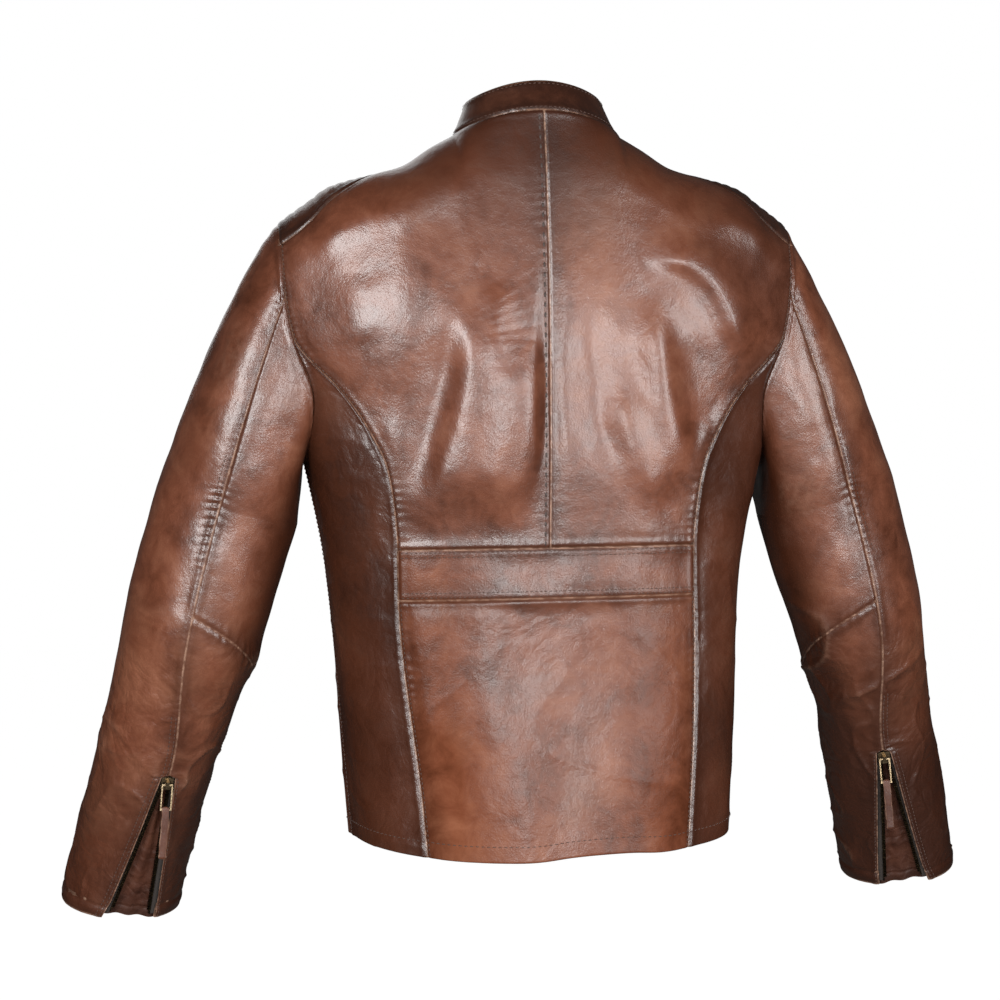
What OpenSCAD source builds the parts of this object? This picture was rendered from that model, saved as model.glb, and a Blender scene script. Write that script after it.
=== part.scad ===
// Leather riding jacket, zipped up and hanging from its loop.
// Millimetres, +Z up. The wearer faces -Y, and their left is +X.
// The origin is the middle of the seam between the back and the collar.

/* [Body] */
// Back length, from the collar seam down to the hem
back_length = 655; // [645:1:675]
// Half the distance between the shoulder tips
shoulder_half = 232; // [230:1:234]
// Half the width under the arms
chest_half = 211; // [209:1:214]
// Half the width at the waist belt
waist_half = 190; // [187:1:193]
// Half the width at the hem
hem_half = 172; // [170:1:176]
// Thickness of the leather
leather = 1.6; // [1.2:0.1:1.8]
// Thickness of the lining cloth
lining = 0.8; // [0.5:0.1:1]
// Top edge of the waist belt panel
belt_top = 383; // [380:1:388]
// Height of the waist belt panel
belt_height = 44; // [40:1:48]

/* [Collar] */
// Half the width of the neck opening
neck_half = 73; // [72:1:74]
// Height of the band collar
collar_height = 32; // [28:1:36]
// How far the band leans in towards the neck, in degrees
collar_lean = 30; // [20:1:32]

/* [Sleeves] */
// Radius of the sleeve above the elbow
arm_radius = 65; // [63:1:66]
// Radius of the sleeve at the forearm
forearm_radius = 55; // [54:1:57]
// How far the forearm leans forward of its straight line, as a share of the full bend
arm_curve = 1; // [0.8:0.05:1]

/* [Cuff zips] */
// Distance up the sleeve from the cuff edge to the top of the zip
cuff_zip_rise = 154; // [150:1:156]
// Half the angle round the cuff that the open zip spreads
cuff_spread = 20; // [18:1:21]
// Length of the metal frame of a zip pull
pull_length = 24; // [20:1:26]
// Width of the metal frame of a zip pull
pull_width = 10.4; // [10:0.2:11]
// Length of the leather tab on a zip pull
tab_length = 48; // [36:1:54]

/* [Hidden] */

brown = [0.42, 0.27, 0.21];
dark_brown = [0.25, 0.15, 0.11];
cloth = [0.16, 0.13, 0.12];
brass = [0.62, 0.50, 0.30];
black = [0.08, 0.07, 0.07];

// Heights of the main lines, measured from the collar seam
hem_z = -back_length;
belt_z = -belt_top;
lower_z = belt_z - belt_height;
armpit_z = -297;
tip_z = -92;
seam_z = -205;            // the back and front seams meet the armhole here
neck_y = -60;             // the side of the neck
neck_front_y = -186;      // the middle of the front of the neck
neck_front_z = -88;
squareness = 2.5;         // power of the body's rounded outline
gap = 0.25;               // half the gap between two sewn pieces

function unit(v) = v / norm(v);
function mix(a, b, t) = a + (b - a) * t;
function smooth(t) = let (c = max(0, min(1, t))) c * c * (3 - 2 * c);
function steps(n) = [for (i = [0:n]) i / n];

// ---- Outline of the body at height z ----

function back_y(z) = lookup(z, [[-660, -8], [-520, -12], [-400, -8], [-290, 6],
                                [-160, 13], [-60, 8], [0, 0]]);
function front_y(z) = mix(-190, -226, (neck_front_z - z) / 567);
function half_w(z) = lookup(z, [[hem_z, hem_half], [-560, mix(hem_half, waist_half, 0.4)],
                                [lower_z + 20, waist_half], [armpit_z, chest_half],
                                [-250, 224], [-190, 255], [tip_z, 262]]);
function mid_y(z) = (back_y(z) + front_y(z)) / 2;
function half_d(z) = (back_y(z) - front_y(z)) / 2;

// Point on the outline at height z: turn is 0 in the middle of the back, 90 at the side
// and 180 in the middle of the front
function outline(turn, z) =
    let (e = 2 / squareness, c = cos(turn))
    [half_w(z) * pow(abs(sin(turn)), e), mid_y(z) + sign(c) * half_d(z) * pow(abs(c), e), z];
function turn_of(x, z) = asin(pow(min(1, x / half_w(z)), squareness / 2));

// The line along the top of the shoulder, and the edge of the neck inside it. face is 1
// for the back and -1 for the front.
function neck_bow(x) = sqrt(max(0, 1 - pow(x / neck_half, 2)));
function ridge_y(x, face) =
    x >= neck_half ? mix(neck_y, -72, (x - neck_half) / (shoulder_half - neck_half))
    : neck_y + neck_bow(x) * (face > 0 ? -neck_y : neck_front_y - neck_y);
function ridge_z(x, face) =
    x >= neck_half ? lookup(x, [[neck_half, -13], [94, -25], [122, -42], [152, -50],
                                [186, -60], [203, -72], [shoulder_half, tip_z]])
    : face > 0 ? -13 * pow(x / neck_half, 2)
    : mix(-13, neck_front_z, neck_bow(x));

// Body surface at x and z, rounded over the top of the shoulder
function body(x, z, face) =
    let (flat = mid_y(z) + face * half_d(z)
                * pow(max(0, 1 - pow(x / half_w(z), squareness)), 1 / squareness),
         top = ridge_y(x, face),
         q = max(0, min(1, (ridge_z(x, face) - z) / (face > 0 ? 60 : 75))))
    [x, mix(top, flat, sqrt(1 - pow(1 - q, 2))), z];

// Distance from the middle to the armhole, and below it to the curved panel seam
function seam_x(z, face) =
    face > 0
    ? lookup(z, [[hem_z, 117], [lower_z, 133], [belt_z, 133], [-343, 136], [-312, 142],
                 [-284, 155], [-268, 165], [-251, 178], [seam_z, 218], [-185, 222],
                 [-150, 228], [-112, 230], [tip_z, shoulder_half]])
    : lookup(z, [[hem_z, 122], [lower_z, 136], [belt_z, 138], [-312, 146], [-268, 160],
                 [seam_z, 204], [-170, 207], [-130, 217], [tip_z, shoulder_half]]);

// Armhole edge at an angle: 0 at the shoulder tip, 90 at the back, 180 under the arm,
// 270 at the front
function armhole(a) =
    let (face = sin(a) >= 0 ? 1 : -1, z = mix(armpit_z, tip_z, (1 + cos(a)) / 2),
         k = (seam_z - z) / (seam_z - armpit_z), first = turn_of(seam_x(seam_z, face), seam_z),
         t = 90 - (90 - first) * sqrt(max(0, 1 - k * k)))
    z >= seam_z ? body(seam_x(z, face), z, face) : outline(face > 0 ? t : 180 - t, z);
armhole_join = acos(2 * (seam_z - armpit_z) / (tip_z - armpit_z) - 1);

// ---- Sheets: a grid of outer points given a thickness ----

function normal_at(g, i, j) =
    let (n = len(g) - 1, m = len(g[0]) - 1)
    unit(cross(g[min(i + 1, n)][j] - g[max(i - 1, 0)][j],
               g[i][min(j + 1, m)] - g[i][max(j - 1, 0)]));
function sunk(g, depth) =
    [for (i = [0:len(g) - 1]) [for (j = [0:len(g[0]) - 1]) g[i][j] - depth * normal_at(g, i, j)]];
function mirrored(g) =
    [for (row = g) [for (j = [len(row) - 1:-1:0]) [-row[j].x, row[j].y, row[j].z]]];

module sheet(grid, thick, depth = 0) {
    outer = depth == 0 ? grid : sunk(grid, depth);
    inner = sunk(grid, depth + thick);
    n = len(grid) - 1;
    m = len(grid[0]) - 1;
    k = (n + 1) * (m + 1);
    function at(i, j) = i * (m + 1) + j;
    polyhedron(
        points = concat([for (row = outer) each row], [for (row = inner) each row]),
        faces = concat(
            [for (i = [0:n - 1], j = [0:m - 1]) each [
                [at(i, j), at(i, j + 1), at(i + 1, j + 1)],
                [at(i, j), at(i + 1, j + 1), at(i + 1, j)],
                [k + at(i, j), k + at(i + 1, j + 1), k + at(i, j + 1)],
                [k + at(i, j), k + at(i + 1, j), k + at(i + 1, j + 1)]]],
            [for (j = [0:m - 1]) each [
                [at(0, j + 1), at(0, j), k + at(0, j)],
                [at(0, j + 1), k + at(0, j), k + at(0, j + 1)],
                [at(n, j), at(n, j + 1), k + at(n, j + 1)],
                [at(n, j), k + at(n, j + 1), k + at(n, j)]]],
            [for (i = [0:n - 1]) each [
                [at(i, 0), at(i + 1, 0), k + at(i + 1, 0)],
                [at(i, 0), k + at(i + 1, 0), k + at(i, 0)],
                [at(i + 1, m), at(i, m), k + at(i, m)],
                [at(i + 1, m), k + at(i, m), k + at(i + 1, m)]]]),
        convexity = 8);
}

module pair_sheet(side, grid, thick, depth = 0)
    sheet(side > 0 ? grid : mirrored(grid), thick, depth);

// ---- Body panels, made for the wearer's left ----

function hem_at(x) = hem_z + 12 * pow(x / hem_half, 2);

patch_in = 138;           // the ribbed patch comes to a point this far from the middle

// Where the upper panels stop below the ribbed shoulder patch
function patch_edge(x, face) =
    ridge_z(x, face) - (face > 0 ? 23 : 52) * smooth((x - patch_in) / 80) - gap;

patch_start = patch_in + 16;
patch_cols = 6;
patch_rows = 6;
// Where the patch's lower edge meets the armhole
function patch_corner(face, x = 220, n = 12) =
    n == 0 ? x : patch_corner(face, seam_x(patch_edge(x, face), face) - gap, n - 1);

// Columns of a panel, as shares of its width. They follow the bend of the neck, and along
// the shoulder they are the patch's own columns, so that the two edges are parallel.
neck_shares = [0.3, 0.55, 0.78, 0.92, 1];
function panel_shares(first, wide) =
    let (x = concat([first], neck_shares * neck_half, [100, 127],
                    [for (s = steps(patch_cols)) mix(patch_start, wide, s)]))
    [for (v = x) (v - first) / (wide - first)];
function turned_for(face, list) =
    face > 0 ? list : [for (i = [len(list) - 1:-1:0]) list[i]];

// Panel between the middle (from x = first) and the curved seam
function inner_panel(face, first, bottom, rows) =
    let (wide = patch_corner(face), shares = turned_for(face, panel_shares(first, wide)))
    [for (u = steps(rows)) [for (s = shares)
        let (top = patch_edge(mix(first, wide, s), face),
             low = bottom == 0 ? hem_at(mix(first, seam_x(hem_z, face), s)) : bottom,
             z = mix(low, top, 1 - pow(1 - u, 1.6)),
             x = mix(first, min(wide, seam_x(z, face) - gap), s))
        body(x, z, face)]];

// Band of the back between two heights, reaching both curved seams
function band(top, bottom, rows, cols, out) =
    [for (u = steps(rows)) [for (i = [-cols:cols])
        let (s = i / cols, low = bottom == 0 ? hem_at(s * 117) : bottom, z = mix(low, top, u),
             p = body(abs(s) * (seam_x(z, 1) - gap), z, 1))
        [s < 0 ? -p.x : p.x, p.y + out, z]]];

seam_degrees = 0.5;      // turn between a side panel and the seam's line

// Panel between the curved seam and the side seam, up to the armhole
function outer_panel(face, rows, cols) =
    [for (u = steps(rows)) [for (s = face > 0 ? steps(cols) : [for (i = [cols:-1:0]) i / cols])
        let (a = mix(armhole_join, 180, s), rim = armhole(face > 0 ? a : 360 - a),
             low = hem_at(mix(117, hem_half, s)), z = mix(low, rim.z - 5 * gap, u),
             seam_turn = turn_of(seam_x(z, face), z) + seam_degrees,
             rim_turn = turn_of(rim.x, rim.z),
             top_turn = turn_of(seam_x(rim.z, face), rim.z) + seam_degrees,
             share = mix(s, (rim_turn - top_turn) / (90 - top_turn), u * u),
             t = mix(seam_turn, 89.8, max(0, min(1, share))))
        outline(face > 0 ? t : 180 - t, z)]];

zip_half = 7;            // half the open width beside the front zip

module back_panel(side) color(brown)
    pair_sheet(side, inner_panel(1, 2 * gap, belt_z + gap, 12), leather);
module front_panel(side) color(brown) difference() {
    pair_sheet(side, inner_panel(-1, zip_half, 0, 14), leather);
    pocket(side) cube([pocket_len + 2 * welt_rim + 1, pocket_window + 2 * welt_rim + 1, 16],
                      center = true);
}
module side_back(side) color(brown) pair_sheet(side, outer_panel(1, 12, 6), leather);
module side_front(side) color(brown) pair_sheet(side, outer_panel(-1, 12, 6), leather);
module back_belt_panel() color(brown)
    sheet(band(belt_z - gap, lower_z + gap, 2, 10, 1.2), leather + 1.2);
module back_lower_panel() color(brown)
    sheet(band(lower_z - gap, 0, 7, 10, 0), leather);

// Ribbed patch over the top of the shoulder, from the back seam to the front one
function patch() =
    [for (i = [-patch_rows:patch_rows]) [for (s = steps(patch_cols))
        let (face = i > 0 ? -1 : 1, v = 1 - pow(i / patch_rows, 2),
             x_low = mix(patch_start, patch_corner(face), s),
             x_top = mix(patch_start, shoulder_half - 2, s),
             z = mix(patch_edge(x_low, face) + 4 * gap, ridge_z(x_top, face), v))
        body(min(mix(x_low, x_top, v), seam_x(z, face) - 4 * gap), z, face)]];
module shoulder_patch(side) color(dark_brown) pair_sheet(side, patch(), leather);

// ---- Collar ----

// Point on the collar seam: 0 at the back, 90 at the left, 180 at the front
function neck(a) =
    let (c = cos(a), s = sin(a))
    [neck_half * s, neck_y + c * (c > 0 ? -neck_y : neck_y - neck_front_y),
     c > 0 ? -13 * s * s : mix(-13, neck_front_z, -c)];
function collar_point(a, up, out = 0) =
    let (p = neck(a), inward = unit([-p.x, -88 - p.y, 0]),
         lean = collar_lean * mix(0.5, 1, (1 + cos(a)) / 2),
         wall = [0, 0, cos(lean)] + inward * sin(lean), face = [0, 0, sin(lean)] - inward * cos(lean))
    p + [0, 0, 0.6] + wall * up + face * out;
function collar_grid(first, last, low, high, rows, cols, out = 0) =
    [for (u = steps(rows)) [for (s = steps(cols))
        collar_point(mix(first, last, s), mix(low, high, u), out)]];
collar_end = asin(9 / neck_half);      // half the angle left open at the front
tab_in = asin(34 / neck_half);
tab_out = asin(30 / neck_half);
tab_lift = 4.6;           // how far the tab stands off the band
snap_turn = 7;            // degrees from the tab's free end to its snap
snap_up = 16.5;           // height of the snap on the band

module collar_band() color(dark_brown)
    sheet(collar_grid(-180 + collar_end, 180 - collar_end, 0, collar_height, 3, 28), leather);
module collar_lining() color(brown)
    sheet(collar_grid(-180 + collar_end, 180 - collar_end, 0.5, collar_height - 0.8, 2, 28),
          1.2, leather + 0.3);
module collar_tab() color(dark_brown)
    sheet(collar_grid(180 - tab_in, 180 + tab_out, 7, 26, 2, 10, tab_lift), 2.4);
module collar_snap(out, r, h) {
    p = collar_point(180 + tab_out - snap_turn, snap_up, out);
    q = collar_point(180 + tab_out - snap_turn, snap_up, out + 1);
    place(p, [0, 0, 1], q - p) cylinder(r = r, h = h, $fn = 40);
}
module collar_snap_cap() color(brass) collar_snap(tab_lift + 0.3, 6, 2.2);
module collar_snap_stud() color(brass) collar_snap(0.35, 3, 0.6);

// ---- Sleeves, made for the wearer's left ----

cap_end = -340;          // below this height the sleeve is a plain tube
elbow_z = -452;
cuff_z = -713;           // height of the middle of the cuff edge
bend_z = -433;

function arm(z) =
    [lookup(z, [[cuff_z, 385], [-684, 378], [-568, 346], [bend_z, 306], [cap_end, 279],
                [-250, 252]]),
     mix(-110, lookup(z, [[cuff_z, -231], [-684, -220], [-568, -167], [bend_z, -118],
                          [cap_end, -110], [-250, -102]]), arm_curve), z];
function arm_r(z) = lookup(z, [[cuff_z, forearm_radius + 1], [-568, forearm_radius],
                               [-500, mix(forearm_radius, arm_radius, 0.35)],
                               [bend_z, arm_radius - 1.5], [cap_end, arm_radius]]);
function arm_dir(z) = unit(arm(z - 25) - arm(z + 25));
function arm_out(z) = let (d = arm_dir(z)) unit([1, 0, 0] - d * d.x);
function arm_back(z) = cross(arm_out(z), arm_dir(z));
// Point on the tube: 0 on the outside, 90 at the back, 180 at the inside, 270 in front
function tube(a, z, sink = 0) =
    arm(z) + (arm_r(z) - sink) * (cos(a) * arm_out(z) + sin(a) * arm_back(z));
// Sleeve head: from the armhole edge (k = 0) to the tube (k = 1)
function head(a, k) =
    mix(armhole(a) + [1, 0, 0], tube(a, cap_end), k)
    + 4 * (1 + cos(a)) * sin(180 * k) * (cos(a) * arm_out(cap_end) + sin(a) * arm_back(cap_end));

front_seam = 285;
function rear_seam(z) = lookup(z, [[cuff_z, 100], [-559, 100], [elbow_z, 85], [cap_end, 83]]);

// rows of the upper sleeve, from the elbow up to the armhole
tube_rows = [elbow_z + 0.5, -425, -395, -365];
head_rows = [1, 0.8, 0.6, 0.4, 0.2, 0];
function sleeve_grid(first, last, cols) =
    concat([for (z = tube_rows) [for (s = steps(cols))
                tube(mix(rear_or(first, z, 1), rear_or(last, z, 1), s), z)]],
           [for (k = head_rows) [for (s = steps(cols))
                head(mix(rear_or(first, cap_end, k), rear_or(last, cap_end, k), s), k)]]);
// A seam angle. Angles from 0 to 1 count from the rear seam, which meets the armhole at 70.
function rear_or(a, z, k) = a >= 0 && a <= 1 ? a + mix(70, rear_seam(z), k) : a;

sleeve_gap = 0.3;        // degrees between two sewn sleeve pieces
module sleeve_top(side) color(brown)
    pair_sheet(side, reversed(sleeve_grid(front_seam - 360 + sleeve_gap, 0, 10)), leather);
module sleeve_under(side) color(brown)
    pair_sheet(side, reversed(sleeve_grid(2 * sleeve_gap, front_seam - sleeve_gap, 10)), leather);
// The columns run the other way round the arm, so that the sheet's outside faces out
function reversed(g) = [for (row = g) [for (i = [len(row) - 1:-1:0]) row[i]]];

// Forearm, with the slot for the cuff zip below slot_z
slot_z = cuff_z + cuff_zip_rise;
slot_half = 6.8;         // degrees from a zip leg to the leather's edge beside it
function leg_angle(z, way) =
    100 + way * cuff_spread * max(0, min(1, (slot_z - z) / cuff_zip_rise));
function slot_edge(z, way) =
    z > slot_z ? rear_seam(z) + way * sleeve_gap : leg_angle(z, way) + way * slot_half;
forearm_rows = [cuff_z, cuff_z + 29, cuff_z + 60, cuff_z + 92, cuff_z + 124, slot_z - 0.5,
                slot_z + 0.5, -522, -488, elbow_z - 0.5];
function forearm_grid(first, last, cols) =
    [for (z = forearm_rows) [for (i = [cols:-1:0])
        tube(mix(first == 0 ? slot_edge(z, 1) : first, last == 0 ? slot_edge(z, -1) : last,
                 i / cols), z)]];
module forearm_top(side) color(brown)
    pair_sheet(side, forearm_grid(front_seam - 360 + sleeve_gap, 0, 10), leather);
module forearm_under(side) color(brown)
    pair_sheet(side, forearm_grid(0, front_seam - sleeve_gap, 10), leather);

// Sleeve linings, open tubes closed by a seam at the front
function ring_cols(n) = [for (i = [n:-1:0]) front_seam - 359.6 + i * 359.2 / n];
module sleeve_lining(side) color(cloth)
    pair_sheet(side, concat(
        [for (z = [elbow_z + 3, -400]) [for (a = ring_cols(16)) tube(a, z, 6)]],
        [for (k = [1, 0.7, 0.4, 0.12]) [for (a = ring_cols(16))
            head(a, k) - 6 * (cos(a) * arm_out(cap_end) + sin(a) * arm_back(cap_end))]]), lining);
module forearm_lining(side) color(cloth)
    pair_sheet(side, [for (z = [cuff_z + 8, -640, -590, -540, -500, elbow_z - 5])
        [for (a = ring_cols(16)) tube(a, z, 12.8)]], lining);

// ---- Zips ----

module place(origin, along, out) {
    x = unit(along);
    z = unit(out - x * (out * x));
    y = cross(z, x);
    multmatrix([[x.x, y.x, z.x, origin.x], [x.y, y.y, z.y, origin.y],
                [x.z, y.z, z.z, origin.z], [0, 0, 0, 1]]) children();
}

channel = 1.9;           // half the height of the space inside a slider
plate = 1.1;             // thickness of a slider's plates
eye = 2.3;               // height of the pull's bar above the upper plate
row_half = 1.6;          // half the width of one row of teeth
post_gap = 0.6;          // half the space between two closed rows
zip_depth = 3.9;         // depth of the zip's middle below the leather's outside
cuff_depth = 4.6;        // the same at the cuffs, where the leather is rounder
pull_height = channel + plate + eye;

// One row of teeth along X from 0 to length, with its teeth pointing to -Y
module teeth_row(length, pitch) {
    n = floor(length / pitch) - 1;
    linear_extrude(height = 2.2, center = true)
        polygon(concat([[0, row_half]],
            [for (i = [0:n - 1]) each [[i * pitch, 0.4], [i * pitch, -row_half],
                [(i + 0.55) * pitch, -row_half], [(i + 0.55) * pitch, 0.4]]],
            [[length, 0.4], [length, row_half]]));
}
module tape(length, width)
    translate([0, row_half, -0.35]) cube([length, width, 0.7]);

// Slider of given length and width; post is where its divider stands
module slider(length, width, post, post_size) {
    for (z = [channel, -channel - plate])
        translate([0, 0, z]) linear_extrude(height = plate)
            offset(r = 2, $fn = 24) square([length - 4, width - 4], center = true);
    translate(post) cube([post_size.x, post_size.y, 2 * channel + 0.2], center = true);
    translate([0, 1.5, channel + plate]) rotate([90, 0, 0]) linear_extrude(height = 3)
        difference() {
            translate([-3.6, -0.1]) square([7.2, eye + 2.3]);
            translate([0, eye]) circle(r = 1.35, $fn = 32);
        }
}
bar = 1.3;
module pull_frame() translate([0, 0, -0.75]) linear_extrude(height = 1.5) difference() {
    translate([-0.75, -pull_width / 2]) square([pull_length, pull_width]);
    translate([0.75, bar - pull_width / 2])
        square([pull_length - 1.5 - bar, pull_width - 2 * bar]);
}
module pull_tab(length) difference() {
    translate([pull_length - bar - 3, 0.4 + bar - pull_width / 2, -1.6])
        cube([length, pull_width - 2 * bar - 0.8, 3.2]);
    translate([pull_length - 0.75 - bar / 2, 0, 0]) cube([bar + 0.4, 20, 1.9], center = true);
}

// Cuff zip: both legs start at the slider and spread down to the cuff edge
leg_top = tube(100, slot_z - 7, cuff_depth);
leg_in = tube(100 + cuff_spread, cuff_z + 5, cuff_depth);
leg_out = tube(100 - cuff_spread, cuff_z + 5, cuff_depth);
cuff_side = unit(leg_in - leg_out);
cuff_face = unit(cross(leg_out - leg_top, leg_in - leg_top));
start_in = leg_top + cuff_side * (row_half + post_gap);
start_out = leg_top - cuff_side * (row_half + post_gap);
leg_length = norm(leg_in - start_in);
leg_tilt = 0.21;         // how much each leg follows the roundness of the cuff
hang = 24;               // degrees between the zip and a pull that hangs straight down

module on_leg(way) {
    from = way > 0 ? start_in : start_out;
    to = way > 0 ? leg_in : leg_out;
    place(from, to - from, cuff_face + way * leg_tilt * cuff_side)
        mirror([0, way > 0 ? 0 : 1, 0]) children();
}
module both_sides(side) mirror([side > 0 ? 0 : 1, 0, 0]) children();
module cuff_zip_teeth(side) color(brass) both_sides(side)
    for (way = [1, -1]) on_leg(way) teeth_row(leg_length, 2.5);
module cuff_zip_tape(side) color(black) both_sides(side)
    for (way = [1, -1]) on_leg(way) tape(leg_length, 5.6);
module cuff_slider_frame(side) both_sides(side)
    place(leg_top + unit(leg_in - start_in) * 4, leg_in - start_in, cuff_face) children();
module cuff_slider(side) color(brass) cuff_slider_frame(side)
    slider(13, 11, [5, 0, 0], [2, 0.9]);
module cuff_pull_frame(side) color(brass) cuff_slider_frame(side)
    translate([0, 0, pull_height]) rotate([0, -hang, 0]) pull_frame();
module cuff_pull_tab(side) color(dark_brown) cuff_slider_frame(side)
    translate([0, 0, pull_height]) rotate([0, -hang, 0]) pull_tab(tab_length);
module cuff_gusset(side) color(brown) both_sides(side)
    place(leg_top, leg_in + leg_out - 2 * leg_top, cuff_face)
        translate([0, 0, -channel - plate - 1.8]) linear_extrude(height = 1.2)
            polygon([[-6, -8], [-6, 8], [leg_length, 26], [leg_length, -26]]);

// Front zip, a straight line down the middle
main_top = [0, front_y(-98) + zip_depth, -98];
main_end = [0, front_y(hem_z + 16) + zip_depth, hem_z + 16];
main_length = norm(main_end - main_top);
module on_front(down = 0)
    place(main_top + down * unit(main_end - main_top), main_end - main_top, [0, -1, 0]) children();
module two_rows() for (way = [0, 1]) mirror([0, way, 0])
    translate([0, row_half + post_gap, 0]) children();
module main_zip_teeth() color(brass) on_front() two_rows() teeth_row(main_length - 12, 3.4);
// The tapes are narrow at the top, where the leather curls in to the neck
narrow_run = 50;
narrow_width = 2.4;
module main_zip_tape() color(black) on_front() two_rows() {
    tape(main_length, narrow_width);
    translate([narrow_run, 0, 0]) tape(main_length - narrow_run, 12);
}
module main_zip_box() color(brass) on_front(main_length - 11.5) difference() {
    translate([0, -5, -2.4]) cube([10, 10, 4.8]);
    translate([-1, -20, -0.5]) cube([12, 40, 1]);
}
module main_zip_slider() color(brass) on_front(8)
    slider(14, 12, [4, 0, 0], [4, 0.7]);
module main_pull_frame() color(brass) on_front(8) translate([0, 0, pull_height]) pull_frame();
module main_pull_tab() color(dark_brown) on_front(8)
    translate([0, 0, pull_height]) pull_tab(tab_length);
module wind_flap() color(brown)
    sheet([for (u = steps(6)) [for (x = [30, 10, -10, -30])
        let (z = mix(hem_z + 12, neck_front_z - 14, u)) [x, front_y(z) + 8.2, z]]], 1.4);

// Hand pockets, slanting down and out on the front panels
pocket_len = 142;
pocket_window = 13;
welt_rim = 6;
pocket_high = body(68, -440, -1);
pocket_low = body(108, -578, -1);
pocket_face = [0.12, -1, 0];
module pocket(side) both_sides(side)
    place(mix(pocket_high, pocket_low, 0.5) + [0, -0.6, 0], pocket_low - pocket_high, pocket_face)
        children();
module pocket_start(side) pocket(side)
    translate([1 - pocket_len / 2, 0, -zip_depth + 1]) children();
module pocket_welt(side) pocket(side) translate([0, 0, -2.2]) linear_extrude(height = 3)
    difference() {
        square([pocket_len + 2 * welt_rim, pocket_window + 2 * welt_rim], center = true);
        square([pocket_len, pocket_window], center = true);
    }
module pocket_welts() color(brown) for (side = [1, -1]) pocket_welt(side);
module pocket_zip_teeth() color(brass) for (side = [1, -1]) pocket_start(side)
    two_rows() teeth_row(pocket_len - 2, 2.5);
module pocket_zip_tapes() color(black) for (side = [1, -1]) pocket_start(side)
    two_rows() tape(pocket_len - 2, 9);
module pocket_slider(side) color(brass) pocket_start(side) translate([8, 0, 0])
    slider(12, 11, [3.5, 0, 0], [3, 0.7]);
module pocket_pull(side) color(brass) pocket_start(side)
    translate([8, 0, pull_height]) pull_frame();
module pocket_bags() color(cloth) for (side = [1, -1])
    pair_sheet(side, [for (u = steps(5)) [for (x = [122, 100, 80, 60, 40])
        body(x, mix(-600, -430, u), -1)]], 1, 8.2);

// ---- Inside ----

lining_depth = 10;
function lining_side(bottom) =
    [for (z = [bottom, -580, -500, -420, -360, armpit_z - 12]) [for (i = [-12:12])
        let (t = 167 * i / 12, p = outline(abs(t), z)) [t < 0 ? -p.x : p.x, p.y, z]]];
module torso_lining() color(cloth) {
    sheet(lining_side(hem_z + 30), lining, lining_depth);
    sheet([for (u = steps(6)) [for (i = [-8:8])
        let (x = 205 * abs(i) / 8, z = mix(armpit_z - 6, ridge_z(x, 1) - 20, u), p = body(x, z, 1))
        [i < 0 ? -p.x : p.x, p.y, p.z]]], lining, lining_depth);
    for (side = [1, -1])
        pair_sheet(side, [for (u = steps(6)) [for (i = [6:-1:0])
            let (x = 38 + 140 * i / 6)
            body(x, mix(armpit_z - 6, ridge_z(x, -1) - 26, u), -1)]], lining, lining_depth);
}
module hem_facing() color(brown)
    sheet([for (u = steps(2)) [for (i = [-16:16])
        let (t = 172 * i / 16, z = hem_z + 12 * pow(sin(t), 2) + mix(3, 42, u),
             p = outline(abs(t), z))
        [t < 0 ? -p.x : p.x, p.y, z]]], 1, leather + 0.6);
module hang_loop() color(dark_brown)
    translate([0, -14, -8]) rotate([90, 0, 0]) linear_extrude(height = 1.6) difference() {
        offset(r = 4, $fn = 24) square([56, 8], center = true);
        offset(r = 1.5, $fn = 24) square([50, 3], center = true);
    }

back_panel(1);  // back_left_panel
back_panel(-1);  // back_right_panel
back_belt_panel();
back_lower_panel();
side_back(1);  // side_back_left
side_back(-1);  // side_back_right
front_panel(1);  // front_left_panel
front_panel(-1);  // front_right_panel
side_front(1);  // side_front_left
side_front(-1);  // side_front_right
shoulder_patch(1);  // shoulder_patch_left
shoulder_patch(-1);  // shoulder_patch_right
collar_band();
collar_lining();
collar_tab();
collar_snap_cap();
collar_snap_stud();
sleeve_top(1);  // sleeve_top_left
sleeve_top(-1);  // sleeve_top_right
sleeve_under(1);  // sleeve_under_left
sleeve_under(-1);  // sleeve_under_right
forearm_top(1);  // forearm_top_left
forearm_top(-1);  // forearm_top_right
forearm_under(1);  // forearm_under_left
forearm_under(-1);  // forearm_under_right
sleeve_lining(1);  // sleeve_lining_left
sleeve_lining(-1);  // sleeve_lining_right
forearm_lining(1);  // forearm_lining_left
forearm_lining(-1);  // forearm_lining_right
cuff_gusset(1);  // cuff_gusset_left
cuff_gusset(-1);  // cuff_gusset_right
cuff_zip_tape(1);  // cuff_zip_tape_left
cuff_zip_tape(-1);  // cuff_zip_tape_right
cuff_zip_teeth(1);  // cuff_zip_teeth_left
cuff_zip_teeth(-1);  // cuff_zip_teeth_right
cuff_slider(1);  // cuff_slider_left
cuff_slider(-1);  // cuff_slider_right
cuff_pull_frame(1);  // cuff_pull_frame_left
cuff_pull_frame(-1);  // cuff_pull_frame_right
cuff_pull_tab(1);  // cuff_pull_tab_left
cuff_pull_tab(-1);  // cuff_pull_tab_right
main_zip_tape();
main_zip_teeth();
main_zip_slider();
main_zip_box();
main_pull_frame();
main_pull_tab();
wind_flap();
torso_lining();
hem_facing();
hang_loop();
pocket_welts();
pocket_bags();
pocket_zip_tapes();
pocket_zip_teeth();
pocket_slider(1);  // pocket_slider_left
pocket_slider(-1);  // pocket_slider_right
pocket_pull(1);  // pocket_pull_left
pocket_pull(-1);  // pocket_pull_right
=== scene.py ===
import math
import bpy
import numpy as np
from mathutils import Matrix, Vector


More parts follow.
